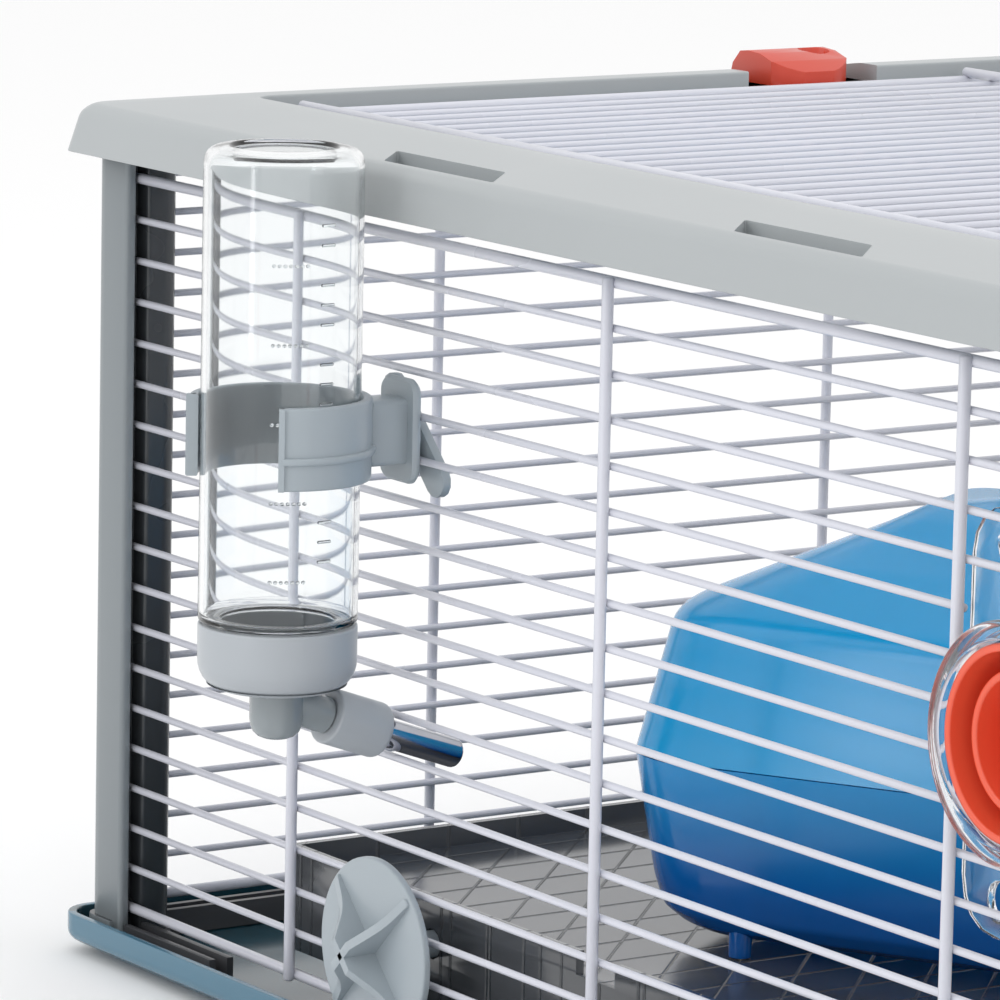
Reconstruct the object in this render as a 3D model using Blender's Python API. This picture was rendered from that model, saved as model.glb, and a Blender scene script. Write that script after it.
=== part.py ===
"""A hamster cage: wire sides, a litter tray, a lift-up roof, a drinker, a shelf, a house and a tube port.

Metres, +Z up. X runs along the long side, Y along the short side, and the origin is the middle of the
underside of the tray. The drinker, two of the shelf's knobs and the tube port are on the front, at -Y.
"""

import math

import bmesh
import bpy
import numpy as np
from mathutils import Matrix, Vector

MM = 0.001
GAP = 0.3 * MM  # between pieces that touch on the real cage
SLIDE = 0.5 * MM  # round a piece that turns or slides in another

# Overall
LENGTH = 500 * MM
WIDTH = 375 * MM
PLATE_UNDERSIDE = 230 * MM  # of the top frame, above the ground

# Wire
WIRE_PITCH = 11.3 * MM
WIRE = 2.0 * MM
HEAVY_WIRE = 3.0 * MM
WIRE_ROWS = 19
LOWEST_WIRE = 14.6 * MM
LONG_STAY_PITCH = 141 * MM
SHORT_STAY_PITCH = 138 * MM

# Tray and corner feet
TRAY_HEIGHT = 11.5 * MM
TRAY_WALL = 2.5 * MM
TRAY_FLOOR = 3.0 * MM
TRAY_CORNER = 11 * MM
TRAY_BASE_STEP = 9 * MM  # the underside is this much smaller all round
FOOT_ARM = 46 * MM
FOOT_WALL = 2.0 * MM
FOOT_TOP = 10.5 * MM
FOOT_PAD_TOP = 7 * MM

# Posts
POST_FROM_EDGE = 7 * MM
POST_SIZE = 17.4 * MM
POST_ROUND = 6 * MM
WIRE_IN_POST = 5 * MM  # from the outer face of the post to the middle of the wires
GROOVE_DEPTH = 6 * MM

# Top frame
SKIRT_DROP = 7 * MM
SKIRT_WALL = 2.5 * MM
SKIRT_FLARE = 2.5 * MM
PLATE_EDGE = 4 * MM  # thickness at the outer edge
PLATE_CROWN = 2.4 * MM  # rise of the rounded outer edge
PLATE_RIM = 10 * MM  # thickness at the rim of the roof opening
RIM_FLAT = 8 * MM  # level band round the opening
FRAME_CORNER = 5.5 * MM
LONG_RAIL = 42.5 * MM
SHORT_RAIL = 31 * MM
SLOT_LENGTH = 50 * MM
SLOT_WIDTH = 10.5 * MM
SLOT_SLANT = 10 * MM
SLOT_PLACE = 76 * MM
SLOT_FROM_EDGE = 11.5 * MM

# Roof
ROOF_FROM_RIM = 6 * MM
ROOF_STUB = 9 * MM  # wire ends past the edge bars
GRIP_BAR_PLACE = 97 * MM
ROOF_UNDER_BAR = 44 * MM
ROOF_BELOW_RIM = 5 * MM  # from the rim down to the middle of the wires
CLIP_PLACE = 60 * MM
CLIP_WIDTH = 8 * MM
CLIP_WALL = 1.8 * MM

# Latch
LATCH_LENGTH = 26 * MM
LATCH_WIDTH = 27 * MM
LATCH_HEIGHT = 9.2 * MM
LATCH_PLACE = 45 * MM
LATCH_LAP = 3.2 * MM  # reaches this far over the roof opening, just short of the roof's first wire
LATCH_PIN = 2.5 * MM
LATCH_BORE = 5.7 * MM  # depth
LATCH_SWING = 23 * MM  # the pocket it turns in reaches this far to each side
LATCH_REACH = 17.8 * MM  # no point of it is further than this from the pin
LATCH_POCKET = 5 * MM  # depth of the pocket below the rim

# Shelf and its knobs
SHELF_LEFT = -165 * MM
SHELF_RIGHT = 150 * MM
SHELF_FROM_WIRE = 12 * MM
SHELF_TOP = 38 * MM
SHELF_LIP = 6 * MM
SHELF_BOTTOM = 15.5 * MM
SHELF_WALL = 2.4 * MM
NOTCH_WIDTH = 17 * MM
NOTCH_PLACE = -19 * MM
KNOB_RADIUS = 25 * MM
KNOB_DISC = 2.2 * MM
KNOB_RIB = 2.4 * MM
KNOB_RISE = 10 * MM
KNOB_SHAFT = 3.6 * MM  # radius
KNOB_CLAW = 10 * MM
KNOB_FROM_SHELF_END = 71 * MM
KNOB_ROW = 1  # its shaft passes between this wire and the next, counted from the lowest as 0

# House
HOUSE_X = -18 * MM
HOUSE_Y = -47 * MM
HOUSE_TURN = math.radians(30)
HOUSE_SIZE = 142 * MM
HOUSE_FOOT = 120 * MM
HOUSE_WALL = 2.4 * MM
HOUSE_SEAM = 51 * MM  # heights are above the shelf
HOUSE_SHOULDER = 87 * MM
HOUSE_APEX = 114 * MM
HOUSE_PEG = 5 * MM
HOUSE_PEG_RADIUS = 3 * MM
HOUSE_CORNER = 22 * MM
DOOR_WIDTH = 46 * MM
DOOR_HEIGHT = 44 * MM

# Drinker
BOTTLE_X = -95 * MM
BOTTLE_FROM_WIRE = 36 * MM
BOTTLE_RADIUS = 20.5 * MM
BOTTLE_WALL = 1.3 * MM
BOTTLE_BOTTOM = 121 * MM
BOTTLE_TOP = 243 * MM
NECK_RADIUS = 16 * MM
CAP_HEIGHT = 17 * MM
CAP_WALL = 1.5 * MM
SPOUT_TILT = math.radians(19.5)
SPOUT_RADIUS = 3.85 * MM
SPOUT_WALL = 0.7 * MM
SPOUT_ROW = 6  # passes between this wire and the next
KNUCKLE_RADIUS = 7 * MM
SLEEVE_RADIUS = 7.4 * MM
SLEEVE_START = 16 * MM  # along the spout from the bottle's axis
SLEEVE_LENGTH = 17.5 * MM
SPOUT_END = 58.5 * MM
BALL_RADIUS = 2.9 * MM
CLAMP_HEIGHT = 21 * MM
CLAMP_MIDDLE = 169 * MM
CLAMP_WALL = 2.2 * MM
CLAMP_PLATE_WIDTH = 16 * MM
CLAMP_PLATE = 2.4 * MM
CLAMP_PLATE_HEIGHT = 27 * MM
CLAMP_SIDESTEP = 4 * MM  # from the bottle's axis to the middle of the plate
CLAMP_ROW = 13  # its stub passes between this wire and the next
LOCK_LENGTH = 38 * MM
LOCK_WIDTH = 8.4 * MM

# Tube port
PORT_X = 173 * MM
PORT_Z = 137 * MM
PORT_FLANGE = 28 * MM
PORT_TUBE = 25.5 * MM
PORT_WALL = 2 * MM
PORT_REACH = 9 * MM  # out from the wires
PORT_PLATE_WIDTH = 64 * MM
PORT_PLATE_HEIGHT = 99 * MM
PORT_PLATE = 2.4 * MM
PLUG_WALL = 2 * MM
PLUG_DEPTH = 14 * MM

# Worked out from the sizes above
PANEL_X = LENGTH / 2 - POST_FROM_EDGE - WIRE_IN_POST
PANEL_Y = WIDTH / 2 - POST_FROM_EDGE - WIRE_IN_POST
PLATE_TOP = PLATE_UNDERSIDE + PLATE_RIM
LATCH_FLOOR = PLATE_TOP - LATCH_POCKET
OPEN_X = LENGTH / 2 - SHORT_RAIL
OPEN_Y = WIDTH / 2 - LONG_RAIL
ROWS = [LOWEST_WIRE + WIRE_PITCH * row for row in range(WIRE_ROWS)]
BOTTLE_Y = -PANEL_Y - BOTTLE_FROM_WIRE
KNOB_Z = LOWEST_WIRE + WIRE_PITCH * (KNOB_ROW + 0.5)


# --- Making solids ---------------------------------------------------------------------------------------


def material(name, colour, roughness, metallic=0.0, clear=0.0):
    made = bpy.data.materials.new(name)
    made.use_nodes = True
    shader = made.node_tree.nodes["Principled BSDF"]
    shader.inputs["Base Color"].default_value = (*colour, 1)
    shader.inputs["Roughness"].default_value = roughness
    shader.inputs["Metallic"].default_value = metallic
    shader.inputs["Transmission Weight"].default_value = clear
    made.diffuse_color = (*colour, 1)
    return made


def piece(name, points, faces, finish, origin=(0, 0, 0)):
    """A named object from points in world space, with its own origin and its faces turned outwards."""
    mesh = bpy.data.meshes.new(name)
    mesh.from_pydata([Vector(point) - Vector(origin) for point in points], [], faces)
    shape = bmesh.new()
    shape.from_mesh(mesh)
    bmesh.ops.remove_doubles(shape, verts=shape.verts, dist=0.001 * MM)
    bmesh.ops.recalc_face_normals(shape, faces=shape.faces)
    shape.to_mesh(mesh)
    shape.free()
    mesh.shade_smooth()
    mesh.set_sharp_from_angle(angle=math.radians(35))
    made = bpy.data.objects.new(name, mesh)
    made.location = origin
    bpy.context.collection.objects.link(made)
    if finish:
        made.data.materials.append(material(name, *finish))
    return made


def cutter(made):
    made.hide_render = True
    made.display_type = "WIRE"
    return made


def cut(target, tool, operation="DIFFERENCE"):
    """Cuts tool out of target, or joins it on."""
    change = target.modifiers.new(tool.name, "BOOLEAN")
    change.operation = operation
    change.object = cutter(tool)
    return target


def join(target, tool):
    return cut(target, tool, "UNION")


def copy_of(original, name, place, turn):
    """The finished shape of another piece, somewhere else. Turn is about Z."""
    bpy.context.view_layer.update()
    graph = bpy.context.evaluated_depsgraph_get()
    mesh = bpy.data.meshes.new_from_object(original.evaluated_get(graph))
    made = bpy.data.objects.new(name, mesh)
    made.location = place
    made.rotation_euler = (0, 0, turn)
    bpy.context.collection.objects.link(made)
    return made


def skin(rings, closed=False):
    """Faces between rings of equally many points. An open stack of rings gets a face at each end."""
    count = len(rings[0])
    points = [point for ring in rings for point in ring]
    faces = []
    for layer in range(len(rings) if closed else len(rings) - 1):
        low = layer * count
        high = (layer + 1) % len(rings) * count
        for i in range(count):
            j = (i + 1) % count
            faces.append((low + i, low + j, high + j, high + i))
    if not closed:
        faces.append(tuple(range(count)))
        faces.append(tuple(range(len(points) - count, len(points))))
    return points, faces


def place_on(axis, across, up, along):
    """A point from its place across, up and along an axis. On X and Y, up is Z."""
    return {"X": (along, across, up), "Y": (across, along, up), "Z": (across, up, along)}[axis]


def prism(name, outline, axis, start, end, finish=None, origin=(0, 0, 0)):
    """A flat outline pushed along an axis."""
    rings = [[place_on(axis, a, b, along) for a, b in outline] for along in (start, end)]
    return piece(name, *skin(rings), finish, origin)


def box(name, low, high, finish=None, origin=(0, 0, 0)):
    outline = [(low[0], low[1]), (high[0], low[1]), (high[0], high[1]), (low[0], high[1])]
    return prism(name, outline, "Z", low[2], high[2], finish, origin)


def turned(name, profile, centre, axis, finish=None, sides=24, matrix=None, origin=None):
    """A profile of (radius, height) turned about an axis through centre. It closes on itself."""
    rings = []
    for radius, height in profile:
        ring = []
        for i in range(sides):
            angle = 2 * math.pi * (i + 0.5) / sides
            offset = Vector(place_on(axis, radius * math.cos(angle), radius * math.sin(angle), height))
            ring.append(Vector(centre) + (matrix @ offset if matrix else offset))
        rings.append(ring)
    closed = all(radius > 0 for radius, _ in profile)
    points, faces = skin(rings, closed)
    if not closed:
        faces = [face for face in faces if len(face) == 4]
    return piece(name, points, faces, finish, origin or centre)


def rounded(half_x, half_y, radius, steps=4):
    """A rectangle with round corners, anticlockwise."""
    outline = []
    for corner, (sx, sy) in enumerate([(1, 1), (-1, 1), (-1, -1), (1, -1)]):
        for step in range(steps + 1):
            angle = math.pi / 2 * (corner + step / steps)
            outline.append(
                (
                    sx * (half_x - radius) + radius * math.cos(angle),
                    sy * (half_y - radius) + radius * math.sin(angle),
                )
            )
    return outline


def level(outline, z):
    return [(x, y, z) for x, y in outline]


def arc(centre_x, centre_y, radius, start, end, steps):
    angles = [math.radians(start + (end - start) * i / steps) for i in range(steps + 1)]
    return [(centre_x + radius * math.cos(a), centre_y + radius * math.sin(a)) for a in angles]


def lattice(name, edges, solid, axes, finish, origin=(0, 0, 0)):
    """A closed solid from boxes in a grid. Edges are the grid's planes along its three axes, and solid says
    which boxes are full. Axes names the world axis of each grid axis, such as XZY."""
    place = ["XYZ".index(axis) for axis in axes]
    points, faces, seen = [], [], {}

    def corner(index):
        if index not in seen:
            seen[index] = len(points)
            point = [0.0, 0.0, 0.0]
            for axis in range(3):
                point[place[axis]] = edges[axis][index[axis]]
            points.append(point)
        return seen[index]

    padded = np.pad(solid, 1)
    for axis in range(3):
        for side in (0, 1):
            shifted = np.roll(padded, -1 if side else 1, axis)
            for cell in np.argwhere(padded & ~shifted) - 1:
                base = cell.copy()
                base[axis] += side
                step_a, step_b = np.delete(np.eye(3, dtype=int), axis, 0)
                corners = [base, base + step_a, base + step_a + step_b, base + step_b]
                faces.append([corner(tuple(int(v) for v in point)) for point in corners])
    made = piece(name, points, faces, finish, origin)
    shape = bmesh.new()
    shape.from_mesh(made.data)
    bmesh.ops.dissolve_limit(shape, angle_limit=0.01, verts=shape.verts, edges=shape.edges)
    shape.to_mesh(made.data)
    shape.free()
    return made


def bands(middles, widths, low=None, high=None):
    """Grid planes round bars of the given middles and widths, and for each space whether it is a bar."""
    planes, bars = [], []
    if low is not None:
        planes.append(low)
        bars.append(False)
    for middle, width in zip(middles, widths):
        planes += [middle - width / 2, middle + width / 2]
        bars += [True, False]
    if high is not None:
        planes.append(high)
    else:
        bars.pop()
    return planes, np.array(bars)


# Finishes: colour, roughness, metallic, clear
POWDER_COAT = ((0.72, 0.74, 0.80), 0.35)
GREY_PLASTIC = ((0.50, 0.52, 0.52), 0.4)
POST_PLASTIC = ((0.22, 0.24, 0.26), 0.4)
KNOB_PLASTIC = ((0.42, 0.46, 0.49), 0.4)
TRAY_PLASTIC = ((0.08, 0.23, 0.38), 0.3)
DARK_PLASTIC = ((0.06, 0.06, 0.07), 0.35)
RED_PLASTIC = ((0.70, 0.05, 0.02), 0.4)
PORT_RED = ((0.75, 0.12, 0.06), 0.35)
HOUSE_PLASTIC = ((0.0, 0.30, 0.60), 0.2, 0.0, 0.3)
CLEAR_PLASTIC = ((0.9, 0.93, 0.95), 0.05, 0.0, 1.0)
STEEL = ((0.30, 0.30, 0.31), 0.25, 1.0)


# --- Tray, corner feet and posts -------------------------------------------------------------------------


def make_tray():
    half_x, half_y = LENGTH / 2, WIDTH / 2
    inner = TRAY_CORNER - TRAY_WALL
    step = TRAY_BASE_STEP
    rings = [
        level(rounded(half_x - step, half_y - step, TRAY_CORNER), 0),
        level(rounded(half_x - step, half_y - step, TRAY_CORNER), 0.8 * MM),
        level(rounded(half_x - 2 * MM, half_y - 2 * MM, TRAY_CORNER), 2.4 * MM),
        level(rounded(half_x, half_y, TRAY_CORNER), 5 * MM),
        level(rounded(half_x, half_y, TRAY_CORNER), TRAY_HEIGHT),
        level(rounded(half_x - TRAY_WALL, half_y - TRAY_WALL, inner), TRAY_HEIGHT),
        level(rounded(half_x - TRAY_WALL, half_y - TRAY_WALL, inner), TRAY_FLOOR),
    ]
    piece("base_tray", *skin(rings), TRAY_PLASTIC)


def corner_frame(sx, sy):
    """The place where the wires' planes cross at a corner, and the way inwards."""
    return Vector((sx * PANEL_X, sy * PANEL_Y, 0)), Vector((-sx, -sy, 0))


def at_corner(outline, sx, sy):
    """An outline drawn with its x and y pointing into the cage from a corner's crossing of the wires."""
    corner, inward = corner_frame(sx, sy)
    return [(corner.x + inward.x * x, corner.y + inward.y * y) for x, y in outline]


def make_corner(label, sx, sy):
    outer = -WIRE_IN_POST
    inner = POST_SIZE - WIRE_IN_POST
    half_groove = (HEAVY_WIRE + 2 * GAP) / 2
    wall = FOOT_WALL
    # The post: round outside and inside, with a groove on each inward face that takes the wires' ends.
    outline = arc(outer + POST_ROUND, outer + POST_ROUND, POST_ROUND, 180, 270, 4)
    outline += arc(inner - half_groove, outer + half_groove, half_groove, 270, 360, 2)
    outline += [(inner, -half_groove), (inner - GROOVE_DEPTH, -half_groove)]
    outline += [(inner - GROOVE_DEPTH, half_groove), (inner, half_groove)]
    outline += arc(inner - POST_ROUND, inner - POST_ROUND, POST_ROUND, 0, 90, 4)
    outline += [(half_groove, inner), (half_groove, inner - GROOVE_DEPTH)]
    outline += [(-half_groove, inner - GROOVE_DEPTH), (-half_groove, inner)]
    outline += arc(outer + half_groove, inner - half_groove, half_groove, 90, 180, 2)
    prism(
        f"corner_post_{label}",
        at_corner(outline, sx, sy),
        "Z",
        FOOT_PAD_TOP + GAP,
        PLATE_UNDERSIDE - GAP,
        POST_PLASTIC,
    )
    # The foot: a pad under the post and a double-walled arm along each side of the tray.
    start = inner + GAP
    end = start + FOOT_ARM
    pad = rounded((POST_SIZE + wall) / 2, (POST_SIZE + wall) / 2, POST_ROUND, 3)
    middle = (outer + inner) / 2
    pad = [(x + middle, y + middle) for x, y in pad]
    low = TRAY_FLOOR + GAP
    foot = prism(f"corner_foot_{label}", at_corner(pad, sx, sy), "Z", low, FOOT_PAD_TOP, DARK_PLASTIC)
    for across in (-wall - half_groove, half_groove):
        arm = [(middle, across), (end, across), (end, across + wall), (middle, across + wall)]
        for turn, line in enumerate((arm, [(y, x) for x, y in arm])):
            top = [(start, across), (end, across), (end, across + wall), (start, across + wall)]
            top = top if not turn else [(y, x) for x, y in top]
            for part, points, height in (("low", line, FOOT_PAD_TOP - GAP), ("high", top, FOOT_TOP)):
                name = f"foot_{label}_{turn}_{across:.4f}_{part}"
                join(foot, prism(name, at_corner(points, sx, sy), "Z", low, height))


# --- Wire sides ------------------------------------------------------------------------------------------


def wire_side(name, axes, plane, outward, stays, half_length, opening=None):
    """A side of the cage: rows of wire along its length, welded inside upright stays. Outward is the sign
    of the way out. Opening is (start, end, rows): a place where the rows stop at two stays."""
    heights = [HEAVY_WIRE] + [WIRE] * (WIRE_ROWS - 2) + [HEAVY_WIRE]
    z_planes, wires = bands(ROWS, heights)
    short = []
    if opening:
        short = [opening[0], opening[1]]
    uprights = sorted(set(stays) | set(short))
    u_planes, posts = bands(uprights, [HEAVY_WIRE] * len(uprights), -half_length, half_length)
    depth = [plane - outward * WIRE / 2, plane + outward * WIRE / 2]
    depth.append(plane + outward * (WIRE / 2 + HEAVY_WIRE))
    full = np.zeros((len(posts), len(wires), 2), bool)
    full[:, wires, 0] = True
    for index, upright in enumerate(uprights):
        column = np.flatnonzero(posts)[index]
        if upright in stays:
            full[column, :, 1] = True
        else:
            full[column, 2 * opening[2][0] : 2 * opening[2][1] + 1, 1] = True
    if opening:
        left, right = (np.flatnonzero(posts)[uprights.index(edge)] for edge in opening[:2])
        full[left + 1 : right, 2 * opening[2][0] + 1 : 2 * opening[2][1], 0] = False
    if outward < 0:
        depth, full = depth[::-1], full[:, :, ::-1]
    return lattice(name, [u_planes, z_planes, depth], full, axes, POWDER_COAT)


def make_sides():
    long_stays = [LONG_STAY_PITCH * step for step in (-1, 0, 1)]
    short_stays = [SHORT_STAY_PITCH * step for step in (-0.5, 0.5)]
    bottom = POST_SIZE - WIRE_IN_POST - GROOVE_DEPTH + GAP
    long_half = PANEL_X - bottom
    short_half = PANEL_Y - bottom
    # The port sits between the last stay and a short one, where the rows are left out.
    port_rows = [row for row, z in enumerate(ROWS) if abs(z - PORT_Z) < PORT_TUBE + WIRE]
    port_edge = 2 * PORT_X - LONG_STAY_PITCH
    opening = (LONG_STAY_PITCH, port_edge, (port_rows[0] - 1, port_rows[-1] + 1))
    wire_side("front_wires", "XZY", -PANEL_Y, -1, long_stays, long_half, opening)
    wire_side("back_wires", "XZY", PANEL_Y, 1, long_stays, long_half)
    wire_side("left_wires", "YZX", -PANEL_X, -1, short_stays, short_half)
    wire_side("right_wires", "YZX", PANEL_X, 1, short_stays, short_half)


# --- Top frame, roof, hinge clips and latch --------------------------------------------------------------


def make_top_frame():
    half_x, half_y = LENGTH / 2, WIDTH / 2
    edge = SKIRT_FLARE
    wall = SKIRT_WALL
    low = PLATE_UNDERSIDE - SKIRT_DROP
    shoulder = PLATE_UNDERSIDE + PLATE_EDGE
    rings = [
        level(rounded(half_x, half_y, FRAME_CORNER), low),
        level(rounded(half_x - edge, half_y - edge, FRAME_CORNER), shoulder),
        level(rounded(half_x - edge - wall, half_y - edge - wall, FRAME_CORNER), shoulder + PLATE_CROWN),
        level(rounded(OPEN_X + RIM_FLAT, OPEN_Y + RIM_FLAT, 9 * MM), PLATE_TOP),
        level(rounded(OPEN_X, OPEN_Y, 6 * MM), PLATE_TOP),
        level(rounded(OPEN_X, OPEN_Y, 6 * MM), PLATE_UNDERSIDE),
        level(rounded(half_x - edge - wall, half_y - edge - wall, FRAME_CORNER - wall), PLATE_UNDERSIDE),
        level(rounded(half_x - wall, half_y - wall, FRAME_CORNER - wall), low),
    ]
    frame = piece("top_frame", *skin(rings, closed=True), GREY_PLASTIC)
    # Slanted slots through the long rails, mirrored from front to back.
    for sx in (-1, 1):
        for sy in (-1, 1):
            x = sx * SLOT_PLACE
            front = WIDTH / 2 - SLOT_FROM_EDGE
            half, slant = SLOT_LENGTH / 2, SLOT_SLANT / 2
            outline = [
                (x - half + slant, sy * (front + SLOT_WIDTH / 2)),
                (x + half + slant, sy * (front + SLOT_WIDTH / 2)),
                (x + half - slant, sy * (front - SLOT_WIDTH / 2)),
                (x - half - slant, sy * (front - SLOT_WIDTH / 2)),
            ]
            bottom = PLATE_UNDERSIDE - 2 * MM
            cut(frame, prism(f"slot_{sx}_{sy}", outline, "Z", bottom, PLATE_TOP + 2 * MM))
    # A pocket for the latch: a level seat where the plate falls away, and the rim cut down to it.
    side = LATCH_SWING
    seat_end = -OPEN_X + LATCH_LAP - LATCH_LENGTH - 3 * MM
    seat_low = (seat_end, LATCH_PLACE - side, PLATE_UNDERSIDE + 1 * MM)
    seat_high = (-OPEN_X - 2 * MM, LATCH_PLACE + side, LATCH_FLOOR)
    join(frame, box("latch_seat", seat_low, seat_high))
    pocket_low = (seat_end - 4 * MM, LATCH_PLACE - side, LATCH_FLOOR)
    pocket_high = (-OPEN_X + 2 * MM, LATCH_PLACE + side, PLATE_TOP + 2 * MM)
    cut(frame, box("latch_pocket", pocket_low, pocket_high))


def make_roof():
    """The lift-up grille. Its origin is on the hinge, which is its last wire, at +X."""
    half_x = OPEN_X - ROOF_FROM_RIM
    half_y = OPEN_Y - 4 * MM
    count = round(2 * half_x / WIRE_PITCH)
    pitch = 2 * half_x / count
    wires = [-half_x + pitch * i for i in range(count + 1)]
    widths = [HEAVY_WIRE] + [WIRE] * (count - 1) + [HEAVY_WIRE]
    edge = half_y - ROOF_STUB
    on_top = [-edge, GRIP_BAR_PLACE, edge]
    below = [-ROOF_UNDER_BAR, ROOF_UNDER_BAR]
    bars = sorted(on_top + below)
    x_planes, is_wire = bands(wires, widths)
    y_planes, is_bar = bands(bars, [HEAVY_WIRE] * len(bars), -half_y, half_y)
    middle = PLATE_TOP - ROOF_BELOW_RIM
    z_planes = [middle - WIRE / 2 - HEAVY_WIRE, middle - WIRE / 2, middle + WIRE / 2]
    z_planes.append(middle + WIRE / 2 + HEAVY_WIRE)
    full = np.zeros((len(is_wire), len(is_bar), 3), bool)
    full[is_wire, :, 1] = True
    for bar, row in zip(bars, np.flatnonzero(is_bar)):
        full[:, row, 2 if bar in on_top else 0] = True
    hinge = (half_x, 0, middle)
    lattice("roof_grille", [x_planes, y_planes, z_planes], full, "XYZ", POWDER_COAT, hinge)
    # Clips that hold the last wire: open towards the cage, with a foot that reaches the frame.
    inner = HEAVY_WIRE * 0.71 + SLIDE
    outer = inner + CLIP_WALL
    outline = arc(half_x, middle, outer, -150, 100, 10) + arc(half_x, middle, inner, 100, -150, 10)
    for label, y in (("front", -CLIP_PLACE), ("back", CLIP_PLACE)):
        span = (y - CLIP_WIDTH / 2, y + CLIP_WIDTH / 2)
        clip = prism(f"hinge_clip_{label}", outline, "Y", *span, GREY_PLASTIC)
        foot_low = (half_x + inner + CLIP_WALL / 2, span[0], middle - 3 * MM)
        foot_high = (OPEN_X - GAP, span[1], middle + 1 * MM)
        join(clip, box(f"clip_foot_{label}", foot_low, foot_high))


def make_latch():
    """A turn button over the edge of the roof, with a dimple for a finger and a pin through it."""
    bottom = LATCH_FLOOR + GAP
    inner_end = -OPEN_X + LATCH_LAP
    outer_end = inner_end - LATCH_LENGTH
    profile = [
        (outer_end, bottom),
        (outer_end + 1.5 * MM, bottom + 0.55 * LATCH_HEIGHT),
        (outer_end + 5 * MM, bottom + 0.95 * LATCH_HEIGHT),
        (outer_end + 9 * MM, bottom + LATCH_HEIGHT),
        (outer_end + 15 * MM, bottom + 0.95 * LATCH_HEIGHT),
        (outer_end + 21 * MM, bottom + 0.75 * LATCH_HEIGHT),
        (inner_end, bottom + 0.45 * LATCH_HEIGHT),
        (inner_end, bottom),
    ]
    pin_x = outer_end + 9 * MM
    start, end = LATCH_PLACE - LATCH_WIDTH / 2, LATCH_PLACE + LATCH_WIDTH / 2
    pivot = (pin_x, LATCH_PLACE, bottom)
    latch = prism("roof_latch", profile, "Y", start, end, RED_PLASTIC, pivot)
    # Its nose is round in plan, so that it turns without meeting the roof's first wire.
    swing = [(0, -MM), (LATCH_REACH, -MM), (LATCH_REACH, LATCH_HEIGHT + MM), (0, LATCH_HEIGHT + MM)]
    cut(latch, turned("latch_swing", swing, pivot, "Z", sides=48), "INTERSECT")
    dimple = (outer_end + 12.5 * MM, end - 6 * MM, bottom + LATCH_HEIGHT)
    hollow = [(0, -3 * MM), (4 * MM, -3 * MM), (5 * MM, 1 * MM), (0, 1 * MM)]
    cut(latch, turned("latch_dimple", hollow, dimple, "Z", sides=16))
    radius = LATCH_PIN + GAP
    bore = [(0, -MM), (radius, -MM), (radius, LATCH_BORE), (0, LATCH_BORE)]
    cut(latch, turned("latch_bore", bore, pivot, "Z", sides=16))
    top = LATCH_BORE - GAP
    pin = [(0, 0), (LATCH_PIN, 0), (LATCH_PIN, top), (0, top)]
    turned("latch_pin", pin, pivot, "Z", STEEL, sides=12)


# --- Shelf and knobs -------------------------------------------------------------------------------------


def make_shelf():
    half_y = PANEL_Y - SHELF_FROM_WIRE
    wall = SHELF_WALL
    x_planes = [SHELF_LEFT, SHELF_LEFT + wall, NOTCH_PLACE - NOTCH_WIDTH / 2, NOTCH_PLACE + NOTCH_WIDTH / 2]
    x_planes += [SHELF_RIGHT - wall, SHELF_RIGHT]
    y_planes = [-half_y, -half_y + wall, half_y - wall, half_y]
    z_planes = [SHELF_BOTTOM, SHELF_TOP - wall, SHELF_TOP, SHELF_TOP + SHELF_LIP]
    full = np.zeros((5, 3, 3), bool)
    full[[0, 4], :, :] = True
    full[:, [0, 2], :] = True
    full[:, :, 1] = True
    full[2, [0, 2], 2] = False
    shelf = lattice("shelf", [x_planes, y_planes, z_planes], full, "XYZ", DARK_PLASTIC)
    for x, y, z in knob_places():
        hole = KNOB_SHAFT + SLIDE
        wall_middle = math.copysign(half_y - wall / 2, y)
        profile = [(0, -2 * wall), (hole, -2 * wall), (hole, 2 * wall), (0, 2 * wall)]
        name = f"shaft_hole_{len(shelf.modifiers)}"
        cut(shelf, turned(name, profile, (x, wall_middle, z), "Y", sides=12))


def knob_places():
    """Where each knob's shaft crosses the wires."""
    xs = (SHELF_LEFT + KNOB_FROM_SHELF_END, SHELF_RIGHT - KNOB_FROM_SHELF_END)
    return [(x, sy * PANEL_Y, KNOB_Z) for sy in (-1, 1) for x in xs]


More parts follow.
